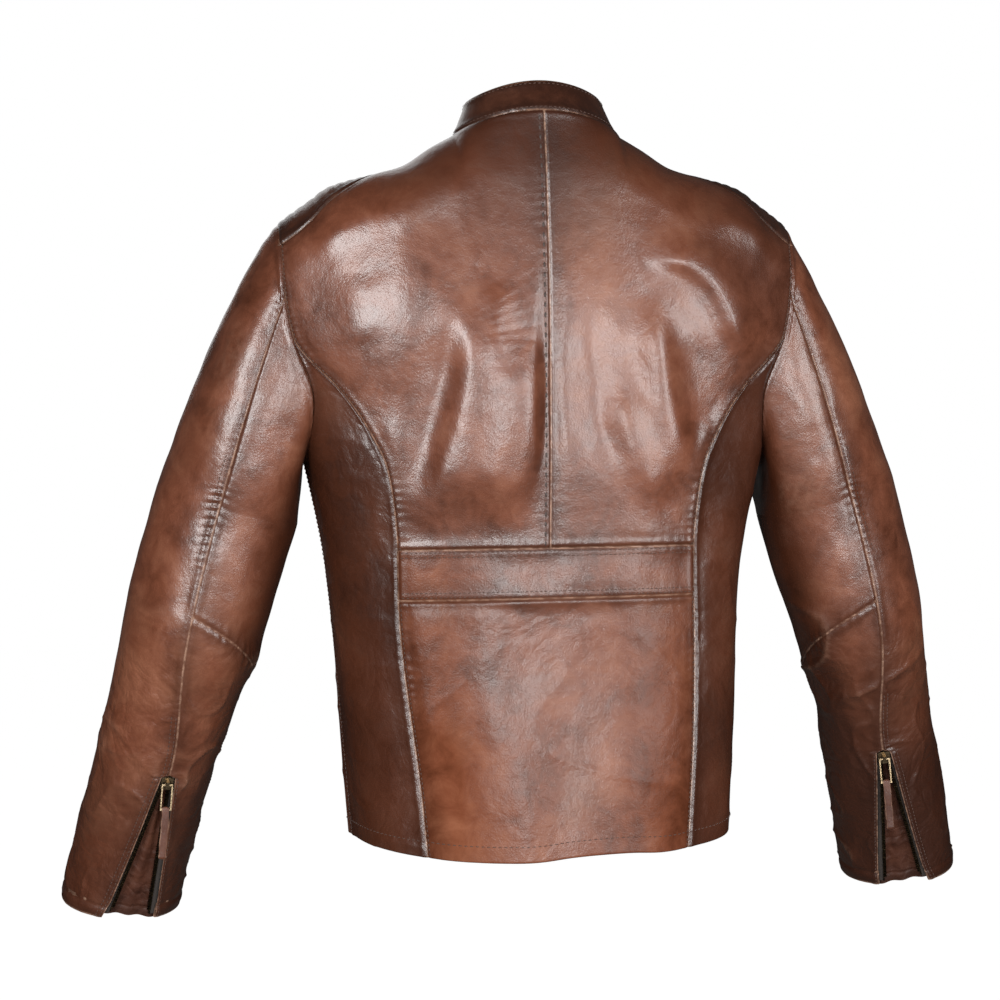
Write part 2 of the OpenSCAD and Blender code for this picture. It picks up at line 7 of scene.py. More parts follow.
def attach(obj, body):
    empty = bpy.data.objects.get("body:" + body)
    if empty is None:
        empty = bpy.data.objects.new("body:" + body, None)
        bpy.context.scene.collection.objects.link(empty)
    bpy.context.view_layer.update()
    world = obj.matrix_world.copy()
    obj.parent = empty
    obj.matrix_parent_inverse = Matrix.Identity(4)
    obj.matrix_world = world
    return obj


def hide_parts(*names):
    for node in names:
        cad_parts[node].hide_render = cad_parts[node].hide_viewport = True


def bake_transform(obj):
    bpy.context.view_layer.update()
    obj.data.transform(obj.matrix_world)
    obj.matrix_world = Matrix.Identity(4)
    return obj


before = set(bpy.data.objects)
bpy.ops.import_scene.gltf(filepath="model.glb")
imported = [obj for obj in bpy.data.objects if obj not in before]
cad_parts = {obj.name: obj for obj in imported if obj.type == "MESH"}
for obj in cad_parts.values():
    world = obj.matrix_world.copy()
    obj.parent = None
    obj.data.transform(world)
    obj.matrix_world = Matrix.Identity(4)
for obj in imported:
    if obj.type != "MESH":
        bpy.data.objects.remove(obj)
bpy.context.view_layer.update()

# Lengths below are millimetres in the row frame; meshes are made in metres.
MM = 0.001
STEP = 2.0      # spacing of the leather's mesh
SIDES = ((1, "left"), (-1, "right"))    # the wearer's left is +X


# ---------- small maths ----------

def curve(keys):
    """Smooth function through (x, y) keys that never overshoots, flat beyond the ends."""
    x, y = np.array(sorted(keys), float).T
    h, d = np.diff(x), np.diff(y) / np.diff(x)
    m = np.zeros(len(x))
    same = d[:-1] * d[1:] > 0
    w1, w2 = 2 * h[1:] + h[:-1], h[1:] + 2 * h[:-1]
    with np.errstate(divide="ignore", invalid="ignore"):
        m[1:-1] = np.where(same, (w1 + w2) / (w1 / d[:-1] + w2 / d[1:]), 0)
    m[0], m[-1] = d[0], d[-1]

    def at(v):
        v = np.clip(np.asarray(v, float), x[0], x[-1])
        i = np.clip(np.searchsorted(x, v) - 1, 0, len(h) - 1)
        t = (v - x[i]) / h[i]
        a, b = t * t * (3 - 2 * t), t * (1 - t)
        return y[i] * (1 - a) + y[i + 1] * a + h[i] * b * (m[i] * (1 - t) - m[i + 1] * t)
    return at


def mix(a, b, t):
    return a + (b - a) * t


def smooth(t):
    t = np.clip(t, 0, 1)
    return t * t * (3 - 2 * t)


def bell(d, width):
    return np.exp(-((d / width) ** 2))


def grid_of(rows, cols):
    return np.meshgrid(rows, cols, indexing="ij")


def unit(v):
    return v / np.maximum(np.linalg.norm(v, axis=-1, keepdims=True), 1e-9)


def waves(p, size, seed, stretch=(1, 1, 1), count=14):
    """Smooth random field from -1 to 1 over points p, with features about size mm across."""
    rng = np.random.RandomState(seed)
    k = unit(rng.normal(size=(count, 3))) * rng.uniform(0.6, 1.5, (count, 1)) * 2.2 / size
    k = k / np.array(stretch)
    phase = rng.uniform(0, 6.28, count)
    return np.tanh(np.sin(p @ k.T + phase).sum(-1) / math.sqrt(count / 2) * 0.9)


def creases(p, size, seed, stretch=(1, 1, 1), sharp=3.0):
    """Thin raised or sunk lines: 1 on a crease, falling to 0 beside it."""
    return np.exp(-sharp * np.abs(waves(p, size, seed, stretch)))


def crumple(p, size, seed, stretch, height):
    """Angular creases as in crushed leather: thin raised lines between shallow facets."""
    warp = np.stack([waves(p, size * 1.3, seed + k) for k in (60, 61, 62)], -1) * size * 0.25
    ridged = creases(p + warp, size, seed, stretch, 4.6)
    return height * (ridged - 0.3 + 0.25 * waves(p, size * 0.8, seed + 63))


def path_distance(p, path):
    """Distance from 2-D points p to a polyline, the signed side, and the share along it."""
    path = np.array(path, float)
    best = np.full(p.shape[:-1], 1e9)
    side, share = np.zeros_like(best), np.zeros_like(best)
    run = np.concatenate([[0], np.cumsum(np.linalg.norm(np.diff(path, axis=0), axis=1))])
    for i in range(len(path) - 1):
        a, d = path[i], path[i + 1] - path[i]
        t = np.clip(((p - a) @ d) / (d @ d), 0, 1)
        off = p - (a + t[..., None] * d)
        r = np.linalg.norm(off, axis=-1)
        near = r < best
        best = np.where(near, r, best)
        side = np.where(near, np.sign(d[0] * off[..., 1] - d[1] * off[..., 0]), side)
        share = np.where(near, (run[i] + t * (run[i + 1] - run[i])) / run[-1], share)
    return best, side, share


def rounded_path(points):
    """Corner-cutting: makes a soft line from a few points."""
    p = np.array(points, float)
    for _ in range(2):
        q = 0.75 * p[:-1] + 0.25 * p[1:]
        r = 0.25 * p[:-1] + 0.75 * p[1:]
        p = np.vstack([p[:1], np.stack([q, r], 1).reshape(-1, p.shape[1]), p[-1:]])
    return p


# ---------- shape of the body, as in part.scad ----------

HEM_Z, BELT_Z, LOWER_Z, ARMPIT_Z, TIP_Z, SEAM_Z = -655, -383, -427, -297, -92, -194
NECK_HALF, NECK_Y, NECK_FRONT_Y, NECK_FRONT_Z = 73, -60, -186, -88
SHOULDER, SQUARE, PATCH_IN = 232, 2.5, 138
HEM_HALF, HEM_SEAM, HEM_RISE = 172, 117, 12
FRONT_TOP_Y, FRONT_LEAN = -190, 36
ROUND_BACK, ROUND_FRONT = 60, 75        # drop over which the shoulder line rounds off

back_y = curve([(-660, -8), (-520, -12), (-400, -8), (-290, 6), (-160, 13), (-60, 8), (0, 0)])
half_w = curve([(HEM_Z, HEM_HALF), (-560, 179), (-407, 190), (ARMPIT_Z, 211), (-250, 224),
                (-190, 255), (TIP_Z, 262)])
ridge_line = curve([(NECK_HALF, -13), (94, -25), (122, -42), (152, -50), (186, -60),
                    (203, -72), (SHOULDER, TIP_Z)])
back_seam = curve([(HEM_Z, HEM_SEAM), (LOWER_Z, 133), (BELT_Z, 133), (-343, 136), (-310, 142),
                   (-281, 155), (-264, 165), (-246, 178), (SEAM_Z, 221), (-150, 228),
                   (-112, 230), (TIP_Z, SHOULDER)])
front_seam_x = curve([(HEM_Z, 122), (LOWER_Z, 136), (BELT_Z, 138), (-312, 146), (-268, 160),
                      (SEAM_Z, 205), (-170, 208), (-130, 217), (TIP_Z, SHOULDER)])


def front_y(z):
    return FRONT_TOP_Y - FRONT_LEAN * (NECK_FRONT_Z - z) / (NECK_FRONT_Z - HEM_Z)


def mid_y(z):
    return (back_y(z) + front_y(z)) / 2


def half_d(z):
    return (back_y(z) - front_y(z)) / 2


def seam_x(z, face):
    return back_seam(z) if face > 0 else front_seam_x(z)


def stack(x, y, z):
    return np.stack(np.broadcast_arrays(x, y, z), -1).astype(float)


def outline(turn, z):
    c, s = np.cos(turn), np.sin(turn)
    e = 2 / SQUARE
    return stack(half_w(z) * np.abs(s) ** e, mid_y(z) + np.sign(c) * half_d(z) * np.abs(c) ** e, z)


def turn_of(x, z):
    return np.arcsin(np.minimum(1, x / half_w(z)) ** (SQUARE / 2))


def neck_bow(x):
    return np.sqrt(np.maximum(0, 1 - (x / NECK_HALF) ** 2))


def ridge_y(x, face):
    inner = NECK_Y + neck_bow(x) * (-NECK_Y if face > 0 else NECK_FRONT_Y - NECK_Y)
    return np.where(x >= NECK_HALF, mix(NECK_Y, -72, (x - NECK_HALF) / (SHOULDER - NECK_HALF)), inner)


def ridge_z(x, face):
    inner = -13 * (x / NECK_HALF) ** 2 if face > 0 else mix(-13, NECK_FRONT_Z, neck_bow(x))
    return np.where(x >= NECK_HALF, ridge_line(x), inner)


def body(x, z, face):
    flat = mid_y(z) + face * half_d(z) * np.maximum(0, 1 - (x / half_w(z)) ** SQUARE) ** (1 / SQUARE)
    q = np.clip((ridge_z(x, face) - z) / (ROUND_BACK if face > 0 else ROUND_FRONT), 0, 1)
    return stack(x, mix(ridge_y(x, face), flat, np.sqrt(1 - (1 - q) ** 2)), z)


def armhole(a):
    a = np.asarray(a, float)
    z = mix(ARMPIT_Z, TIP_Z, (1 + np.cos(a)) / 2)
    k = np.clip((SEAM_Z - z) / (SEAM_Z - ARMPIT_Z), 0, 1)
    out = np.zeros(a.shape + (3,))
    for face in (1, -1):
        first = turn_of(seam_x(SEAM_Z, face), SEAM_Z)
        t = math.pi / 2 - (math.pi / 2 - first) * np.sqrt(1 - k * k)
        low = outline(t if face > 0 else math.pi - t, z)
        p = np.where((z >= SEAM_Z)[..., None], body(seam_x(z, face), z, face), low)
        out = np.where(((np.sin(a) >= 0) == (face > 0))[..., None], p, out)
    return out


ARM_JOIN = math.acos(2 * (SEAM_Z - ARMPIT_Z) / (TIP_Z - ARMPIT_Z) - 1)


def hem_at(x):
    return HEM_Z + HEM_RISE * (x / HEM_HALF) ** 2


def patch_edge(x, face):
    return ridge_z(x, face) - (23 if face > 0 else 52) * smooth((x - PATCH_IN) / 80)


# ---------- shape of the sleeves ----------

CUFF_Z, ELBOW_Z, BEND_Z, CAP_END = -713, -452, -433, -340
FRONT_SEAM = 285
arm_x = curve([(CUFF_Z, 385), (-684, 378), (-568, 346), (BEND_Z, 306), (CAP_END, 279), (-250, 252)])
arm_y = curve([(CUFF_Z, -231), (-684, -220), (-568, -167), (BEND_Z, -118), (CAP_END, -110),
               (-250, -102)])
arm_r = curve([(CUFF_Z, 56), (-568, 55), (-500, 58.5), (BEND_Z, 63.5), (CAP_END, 65)])
SLOT_LEN = 154
SLOT_Z = CUFF_Z + SLOT_LEN
LEG_MIDDLE, LEG_SPREAD = 100, 20        # turn of the cuff zip's middle, and of each leg from it
rear_seam = curve([(CUFF_Z, 100), (-559, 100), (ELBOW_Z, 85), (CAP_END, 83)])


def arm(z):
    return stack(arm_x(z), arm_y(z), z)


def arm_frame(z):
    d = unit(arm(z - 25) - arm(z + 25))
    x = np.zeros_like(d)
    x[..., 0] = 1
    out = unit(x - d * d[..., :1])
    return out, np.cross(out, d)


def tube(a, z, sink=0):
    out, back = arm_frame(z)
    c, s = np.cos(a)[..., None], np.sin(a)[..., None]
    return arm(z) + (arm_r(z) - sink)[..., None] * (c * out + s * back)


def head(a, k):
    z = np.full(np.shape(a), float(CAP_END))
    out, back = arm_frame(z)
    c, s = np.cos(a)[..., None], np.sin(a)[..., None]
    rise = (4 * (1 + np.cos(a)) * np.sin(math.pi * k))[..., None]
    rim = armhole(a) - np.array([0.9, 0, 0])
    return mix(rim, tube(a, z), k[..., None]) + rise * (c * out + s * back)


# ---------- meshes ----------

def make_mesh(name, verts, faces, slot, values=None):
    """Mesh object from points in mm; values are per-point numbers kept as attributes."""
    mesh = bpy.data.meshes.new(name)
    verts = np.asarray(verts, float).reshape(-1, 3) * MM
    faces = np.asarray(faces, int)
    sides = faces.shape[1]
    mesh.vertices.add(len(verts))
    mesh.vertices.foreach_set("co", verts.ravel())
    mesh.loops.add(faces.size)
    mesh.loops.foreach_set("vertex_index", faces.ravel())
    mesh.polygons.add(len(faces))
    mesh.polygons.foreach_set("loop_start", np.arange(0, faces.size, sides))
    mesh.polygons.foreach_set("use_smooth", np.ones(len(faces), bool))
    mesh.materials.append(MATERIALS[slot])
    mesh.update(calc_edges=True)
    for key, data in (values or {}).items():
        a = mesh.attributes.new(key, "FLOAT", "POINT")
        a.data.foreach_set("value", np.asarray(data, np.float32).ravel())
    obj = bpy.data.objects.new(name, mesh)
    bpy.context.collection.objects.link(obj)
    return obj


def grid_faces(rows, cols, flip=False):
    """Quads that face away from grid_normals, or with them if flipped."""
    i = np.arange((rows - 1) * cols).reshape(rows - 1, cols)[:, :-1].ravel()
    quads = np.stack([i, i + 1, i + cols + 1, i + cols], -1)
    return quads[:, ::-1] if flip else quads


def grid_normals(g):
    return unit(np.cross(np.gradient(g, axis=0), np.gradient(g, axis=1)))


def grid_mesh(name, g, slot, values=None, flip=False, window=None):
    """Mesh of a grid of points. window(p) is true where the sheet is cut away."""
    rows, cols = g.shape[:2]
    faces = grid_faces(rows, cols, flip)
    if window is not None:
        faces = faces[~window(g.reshape(-1, 3)[faces].mean(1))]
    return make_mesh(name, g, faces, slot, values)


def spread(length, step):
    """Shares from 0 to 1 along a length, closer together within 14 mm of both ends."""
    n = int(length / step * 4)
    t = np.linspace(0, 1, n)
    d = np.minimum(t, 1 - t) * length
    density = 1 / np.where(d < 14, 1.1 * step / 2, step)
    run = np.concatenate([[0], np.cumsum((density[1:] + density[:-1]) / 2)])
    count = max(4, int(run[-1] * length / (n - 1)))
    return np.interp(np.linspace(0, run[-1], count), run, t)


def along(g, axis):
    """Distance in mm along each row (axis 1) or column (axis 0) of a grid."""
    d = np.linalg.norm(np.diff(g, axis=axis), axis=-1)
    zero = np.zeros_like(np.take(d, [0], axis=axis))
    return np.cumsum(np.concatenate([zero, d], axis=axis), axis=axis)


def mirror(g, side):
    return g if side > 0 else g * np.array([-1, 1, 1])


# ---------- seams ----------

class Seam:
    """How the leather behaves beside one edge: a rounded dip, a ridge, puckers, stitches."""

    def __init__(self, dip=1.2, ridge=0.5, pucker=0.35, pitch=9.0, reach=9.0, rows=(2.6,),
                 at=4.0, wide=2.6, stitch=None):
        self.dip, self.ridge, self.pucker, self.pitch = dip, ridge, pucker, pitch
        self.reach, self.rows, self.at, self.wide = reach, rows, at, wide
        self.stitch = stitch or {}


PLAIN = Seam(pucker=0.15, rows=())
TOP = Seam(pucker=0.25, reach=7)
CURVED = Seam(pucker=0.55, pitch=8.0, reach=9, ridge=0.3)
QUIET = Seam(pucker=0.1, ridge=0.35, rows=())
SPINE = Seam(pucker=0.10, ridge=0.3, at=2.5, wide=2, rows=(), dip=0.9)
# heavy saddle stitches beside the centre seam, on the wearer's left only
SADDLE = Seam(pucker=0.25, pitch=8.7, ridge=0.5, at=2.5, wide=2, rows=(4.4,), dip=0.9,
              stitch=dict(pitch=8.7, length=4.8, width=1.8, raised=0.1, slot="thread_dark"))
BELTED = Seam(pucker=0.2, pitch=8, reach=6, ridge=0.2, dip=0.8, rows=(2.4, 6.4))


def seam_lift(seam, d, run, seed):
    """Height added at distance d from an edge, run mm along it."""
    p = np.stack([run, run * 0, run * 0], -1)
    drift = waves(p, 26, seed) * 0.9
    strength = 0.5 + 0.6 * waves(p, 33, seed + 1)
    slant = d * 0.25 * waves(p, 60, seed + 2)
    beat = np.sin(2 * math.pi * ((run + slant) / seam.pitch + drift))
    fade = np.exp(-((np.abs(d) / seam.reach) ** 1.6)) * smooth(d / 2.5)
    return (-seam.dip * bell(d, 1.5) + seam.ridge * bell(d - seam.at, seam.wide)
            + seam.pucker * strength * beat * fade)


STITCHES = {}


def points_at(distance, run, points):
    return np.stack([np.interp(distance, run, points[:, i]) for i in range(3)], -1)


def add_stitches(body_name, points, normals, pitch=4.2, length=3.0, width=0.75, raised=0.25,
                 slot="thread"):
    """Collects stitches along a line of points, to be made as one mesh per body."""
    seg = np.linalg.norm(np.diff(points, axis=0), axis=1)
    run = np.concatenate([[0], np.cumsum(seg)])
    n = int(run[-1] / pitch)
    if n < 1:
        return
    at = (np.arange(n) + 0.5) * pitch
    a, b = (points_at(at + w * length / 2, run, points) for w in (-1, 1))
    m = unit(points_at(at, run, normals))
    STITCHES.setdefault((body_name, slot), []).append((a, b, m, width, raised))


# a stitch has eight points: one at each end and three round the thread near either end
STITCH_FACES = np.array([[0, 1, 2], [0, 2, 3], [1, 4, 5], [1, 5, 2], [2, 5, 6], [2, 6, 3],
                         [4, 7, 5], [5, 7, 6]])


def stitch_points(a, b, m, width, raised):
    side, up, lift = unit(np.cross(b - a, m)) * width / 2, m * width * 0.5, m * raised
    ring = [a]
    for share in (0.22, 0.78):
        c = mix(a, b, share)
        ring += [c + side + lift, c + up + lift * 1.6, c - side + lift]
    return np.stack(ring + [b], 1)


def build_stitches():
    for (body_name, slot), runs in STITCHES.items():
        verts = np.concatenate([stitch_points(*run) for run in runs])
        starts = np.arange(len(verts)) * 8
        faces = STITCH_FACES[None] + starts[:, None, None]
        obj = make_mesh(f"{slot}_{body_name}", verts, faces.reshape(-1, 3), slot)
        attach(obj, body_name)


# ---------- folds, in the body's own x and z, seen from behind ----------

# Each fold: points from the top down, half width on either side, height (below 0 for a hollow)
BACK_FOLDS = [
    # the long S-shaped crease on the left, its hollow, and the soft roll beside it
    ([(90, -158), (74, -181), (67, -200), (68, -222), (72, -245), (78, -268), (85, -290),
      (91, -312), (94, -334), (97, -356), (98, -376)], 15, 42, 10.5),
    ([(104, -180), (92, -212), (92, -245), (100, -282), (112, -318), (124, -352)], 22, 18, -3.6),
    ([(30, -190), (24, -230), (24, -270), (32, -305), (42, -335), (58, -364)], 30, 18, 7.5),
    ([(6, -240), (4, -290), (12, -335), (24, -368)], 8, 8, -1.6),
    ([(50, -150), (47, -190), (52, -225)], 9, 12, 2.0),
    # small upright ridge by the left armhole
    ([(166, -140), (166, -172), (160, -208)], 14, 20, 1.6),
    ([(150, -262), (132, -292), (122, -330), (122, -364)], 15, 15, 1.6),
    # the arcs under the right shoulder
    ([(-78, -134), (-96, -131), (-115, -132), (-131, -140), (-146, -153), (-156, -169),
      (-165, -190), (-177, -207), (-192, -221)], 9, 22, 8.0),
    ([(-88, -160), (-93, -190), (-98, -218), (-101, -244), (-108, -270), (-116, -300),
      (-124, -330)], 15, 12, 6.0),
    ([(-128, -190), (-130, -222), (-136, -262), (-142, -300)], 14, 18, -2.6),
    ([(-54, -240), (-62, -268), (-76, -298), (-93, -328), (-106, -354)], 13, 22, 4.2),
    ([(-30, -170), (-34, -220), (-44, -270), (-62, -320)], 16, 14, -2.8),
    ([(-148, -266), (-142, -300), (-134, -334)], 7, 9, 2.4),
    # drag lines from the shoulder seams
    ([(-150, -92), (-178, -100), (-208, -120)], 9, 9, 2.0),
    ([(128, -86), (164, -96), (206, -126)], 9, 9, 2.0),
    ([(60, -66), (104, -74), (150, -92)], 18, 18, 2.2),
]


def fold_lift(p, folds):
    q = p[..., [0, 2]]
    total = np.zeros(q.shape[:-1])
    for points, plus, minus, height in folds:
        d, side, t = path_distance(q, rounded_path(points))
        ends = smooth(t / 0.3) * smooth((1 - t) / 0.3)
        total += height * ends * np.exp(-((d / np.where(side > 0, plus, minus)) ** 2) * 0.7)
    return total


def bump(p, x, z, wide, tall, height):
    return height * np.exp(-((p[..., 0] - x) / wide) ** 2 - ((p[..., 2] - z) / tall) ** 2)


def back_shape(p):
    """Folds and soft bulges of the whole back above the belt."""
    lift = fold_lift(p, BACK_FOLDS)
    lift += bump(p, 120, -176, 55, 68, 8) + bump(p, -140, -165, 48, 50, 3)
    lift += 0.8 * waves(p, 70, 3, (1, 1, 1.8)) + 0.4 * waves(p, 22, 4, (1, 1, 1.6))
    return np.where(lift < -3, -3 + 2.5 * np.tanh((lift + 3) / 2.5), lift)


def skirt_shape(p):
    lift = 2.4 * waves(p, 60, 8, (0.8, 1, 2.6)) + 0.6 * waves(p, 20, 9, (1, 1, 1.6))
    lift += 0.7 * creases(p, 40, 10, (1.6, 1, 1)) * smooth((-430 - p[..., 2]) / 60)
    return lift


def belt_shape(p):
    return 0.8 * waves(p, 40, 21, (1, 1, 2))


def side_shape(p):
    return 1.8 * waves(p, 45, 12, (1, 1, 2.0)) + 0.9 * creases(p, 38, 13, (1.2, 1, 0.8))


def front_shape(p):
    mid, x, y, _ = pocket_frame(1)
    q = p * [np.sign(p[0, -1, 0]), 1, 1] - mid
    off = np.maximum(np.abs(q @ x) - POCKET_LEN / 2 - 20, np.abs(q @ y) - POCKET_WIDE)
    soft = 2.2 * waves(p, 70, 16, (1, 1, 1.6)) + 0.7 * creases(p, 45, 18, (1, 1, 1.2))
    return smooth(off / 30) * (soft + 0.8 * waves(p, 26, 17, (1, 1, 1.4)))


def settle(p):
    """The lower back hangs a few millimetres towards the wearer's right."""
    p = p.copy()
    back = smooth((p[..., 1] + 160) / 110)
    p[..., 0] -= 6.5 * smooth((-400 - p[..., 2]) / 200) * back
    flat = p * np.array([1, 0.5, 0])
    p[..., 2] += 2.6 * waves(flat, 50, 25) * smooth((-585 - p[..., 2]) / 60)
    return p


def burn_back(p):
    """How far the leather is darkened as painted shade: round the neck, beside the right armhole and in
    the hollow by the long left crease.
    """
    b = 0.85 * np.exp(-((p[..., 0] / 130) ** 2) - ((p[..., 2] + 25) / 85) ** 2)
    b += 0.55 * np.exp(-(((p[..., 0] + 190) / 60) ** 2) - ((p[..., 2] + 110) / 70) ** 2)
    b += 0.25 * np.exp(-(((p[..., 0] - 120) / 40) ** 2) - ((p[..., 2] + 330) / 60) ** 2)
    return b


def burn_skirt(p):
    """Rubbed dull (below 0) towards both curved seams, more so near the hem."""
    edges = 0.45 + 0.5 * smooth((p[..., 0] - 30) / 75) + 0.45 * smooth((-p[..., 0] - 30) / 70)
    return -edges * (0.6 + 0.4 * smooth((-440 - p[..., 2]) / 130)) * (0.9 + 0.25 * waves(p, 60, 24))


# Painted shade over the whole side panel, which faces away from the lamps.
def burn_side(p):
    return 0.7 + 0.25 * waves(p, 60, 23)


def burn_none(p):
    return np.zeros(p.shape[:-1])


# ---------- one leather panel ----------

FAR = 99.0             # seam distance where no seam is near
HEM_STITCH = 13        # hem stitching, from the edge


def edge_distances(g):
    """Distance from each edge of a grid, and distance along that edge, in mm."""
    up, across = along(g, 0), along(g, 1)
    dist = {"bottom": up, "top": up[-1:] - up, "first": across, "last": across[:, -1:] - across}
    run = {"bottom": across, "top": across, "first": up, "last": up}
    return dist, run


def seamed_lift(g, edges, shape, seed):
    """Height of the leather: its shape, held flat near the seams, and the seams themselves."""
    dist, run = edge_distances(g)
    hold, seam_mm = np.ones(g.shape[:2]), np.full(g.shape[:2], FAR)
    for edge in edges:
        hold = hold * smooth(dist[edge] / 16)
        seam_mm = np.minimum(seam_mm, dist[edge])
    soft = shape(g) * hold
    lift = soft
    for k, (edge, seam) in enumerate(edges.items()):
        lift = lift + seam_lift(seam, dist[edge], run[edge], seed + 7 * k)
    return lift, lift - soft, seam_mm


def leather_panel(name, make, size, edges, shape, body_name, nodes, side=1, slot="leather",
                  flip=None, hem=False, burn=burn_none, crush=0.02, window=None):
    """make(u, s) gives the outer surface on a grid of shares; edges has a Seam for each of
    bottom, top, first and last column. A hem is turned under along the bottom."""
    g = mirror(make(*grid_of(spread(size[0], STEP), spread(size[1], STEP))), side)
    flip = side < 0 if flip is None else flip
    n = grid_normals(g) * (-1 if flip else 1)
    lift, fold, seam_mm = seamed_lift(g, edges, shape, 31 + len(name))
    p = settle(g + n * lift[..., None])
    dist, _ = edge_distances(g)
    for edge, seam in edges.items():
        for off in seam.rows:
            line, m = offset_line(p, n, dist[edge], edge, off)
            add_stitches(body_name, line, m, **seam.stitch)
    # Above 0 the per-point shade value darkens the colour as painted shade; below 0 it dulls the shine.
    values = {"seam_mm": seam_mm, "fold": fold, "burn": burn(g), "crush": np.full(g.shape[:2], crush)}
    if hem:
        line, m = offset_line(p, n, dist["bottom"], "bottom", HEM_STITCH)
        add_stitches(body_name, line, m, pitch=5.0, length=3.4)
        p, values = turn_under(p, n, values)
    obj = grid_mesh(name, p, slot, values, flip, window)
    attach(obj, body_name)
    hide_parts(*nodes)


def offset_line(p, n, d, edge, off):
    """Points of the grid at a distance off from one edge, with their normals."""
    if edge in ("bottom", "top"):
        p, n, d = p.swapaxes(0, 1), n.swapaxes(0, 1), d.T
    if edge in ("top", "last"):
        p, n, d = p[:, ::-1], n[:, ::-1], d[:, ::-1]
    rows = [i for i in range(len(p)) if d[i, -1] >= off * 1.5]
    line, m = (np.array([points_at(off, d[i], v[i]) for i in rows]) for v in (p, n))
    return (line, m) if rows else (np.zeros((2, 3)), np.ones((2, 3)))


def turn_under(p, n, values, deep=2.6, tall=16):
    """Adds rows below the bottom edge that fold round to the inside."""
    extra = []
    down = unit(p[0] - p[2])
    for a in np.radians([40, 90, 140, 180]):
        extra.append(p[0] + down * math.sin(a) * deep / 2 - n[0] * (1 - math.cos(a)) * deep / 2)
    rows = np.array([extra[-1] - down * tall, *extra[::-1]])
    kept = {key: np.concatenate([np.repeat(v[:1], len(rows), 0), v]) for key, v in values.items()}
    return np.concatenate([rows, p]), kept


def inner_maker(face, first, bottom):
    def make(u, s):
        wide = seam_x(-120, face)
        xt = mix(first, wide, s)
        low = hem_at(mix(first, seam_x(HEM_Z, face), s)) if bottom is None else bottom
        z = mix(low, patch_edge(xt, face), u)
        return body(mix(first, np.minimum(seam_x(z, face), wide), s), z, face)
    return make


def band_maker(top, bottom, out):
    def make(u, s):
        t = s * 2 - 1
        low = hem_at(t * HEM_SEAM) if bottom is None else bottom
        z = mix(low, top, u)
        p = body(np.abs(t) * seam_x(z, 1), z, 1)
        p[..., 0] *= np.where(t < 0, -1, 1)
        p[..., 1] += out
        return p
    return make


def outer_maker(face):
    def make(u, s):
        a = mix(ARM_JOIN, math.pi, s)
        rim = armhole(a if face > 0 else 2 * math.pi - a)
        z = mix(hem_at(mix(HEM_SEAM, HEM_HALF, s)), rim[..., 2], u)
        quarter = math.pi / 2
        start = turn_of(seam_x(z, face), z)
        rim_turn = turn_of(np.minimum(rim[..., 0], half_w(rim[..., 2])), rim[..., 2])
        top = turn_of(seam_x(rim[..., 2], face), rim[..., 2])
        share = mix(s, (rim_turn - top) / np.maximum(quarter - top, 1e-6), u * u)
        t = mix(start, quarter, np.clip(share, 0, 1))
        return outline(t if face > 0 else math.pi - t, z)
    return make


def patch_make(u, s):
    """Ribbed patch over the shoulder: u runs from the back seam over the top to the front."""
    t = u * 2 - 1
    x = mix(PATCH_IN + 2, SHOULDER - 0.5, s)
    out = np.zeros(u.shape + (3,))
    for face in (1, -1):
        ridge, low = ridge_z(x, face), patch_edge(x, face)
        z = mix(low, ridge, 1 - np.abs(t) ** 2)
        p = body(np.minimum(x, seam_x(z, face)), z, face)
        out = np.where(((t <= 0) == (face > 0))[..., None], p, out)
    return out


RIB_PITCH = 9.0


def ribs(p):
    """Narrow quilted ribs that run across the shoulder."""
    return 0.9 * np.abs(np.sin(p[..., 0] * math.pi / RIB_PITCH)) ** 0.7


POCKET_LEN, POCKET_WIDE, WELT = 142, 13, 6


def pocket_frame(side):
    """Middle of a hand pocket and its directions: along, across and out of the leather."""
    high, low = body(np.array(68.0), np.array(-440.0), -1), body(np.array(108.0), np.array(-578.0), -1)
    x = unit(low - high)
    z = np.array([0.12, -1, 0])
    z = unit(z - x * (z @ x))
    mid = mix(high, low, 0.5) + np.array([0, -0.6, 0])
    return mirror(mid, side), mirror(x, side), mirror(np.cross(z, x), side), mirror(z, side)


def pocket_window(side):
    mid, x, y, z = pocket_frame(side)

    def inside(p):
        q = p - mid
        return (np.abs(q @ x) < POCKET_LEN / 2 + 2) & (np.abs(q @ y) < POCKET_WIDE / 2 + 2) \
            & (np.abs(q @ z) < 30)
    return inside


def signed_power(v, e):
    return np.sign(v) * np.abs(v) ** e


def window_edge(t, half):
    """Points round a window with half sizes half, and the way out from each in its plane."""
    c, s = np.cos(t), np.sin(t)
    reach = 1.6 * sum(half)
    w = np.stack([np.clip(c * reach, -half[0], half[0]), np.clip(s * reach, -half[1], half[1])], -1)
    at_end, at_side = (np.abs(w[..., i:i + 1] / half[i]) > 0.999 for i in (0, 1))
    corner = unit(np.stack([signed_power(c, 0.35), signed_power(s, 0.35)], -1))
    out = np.where(at_end & ~at_side, np.stack([np.sign(c), 0 * c], -1), corner)
    return w, np.where(at_side & ~at_end, np.stack([0 * c, np.sign(s)], -1), out)


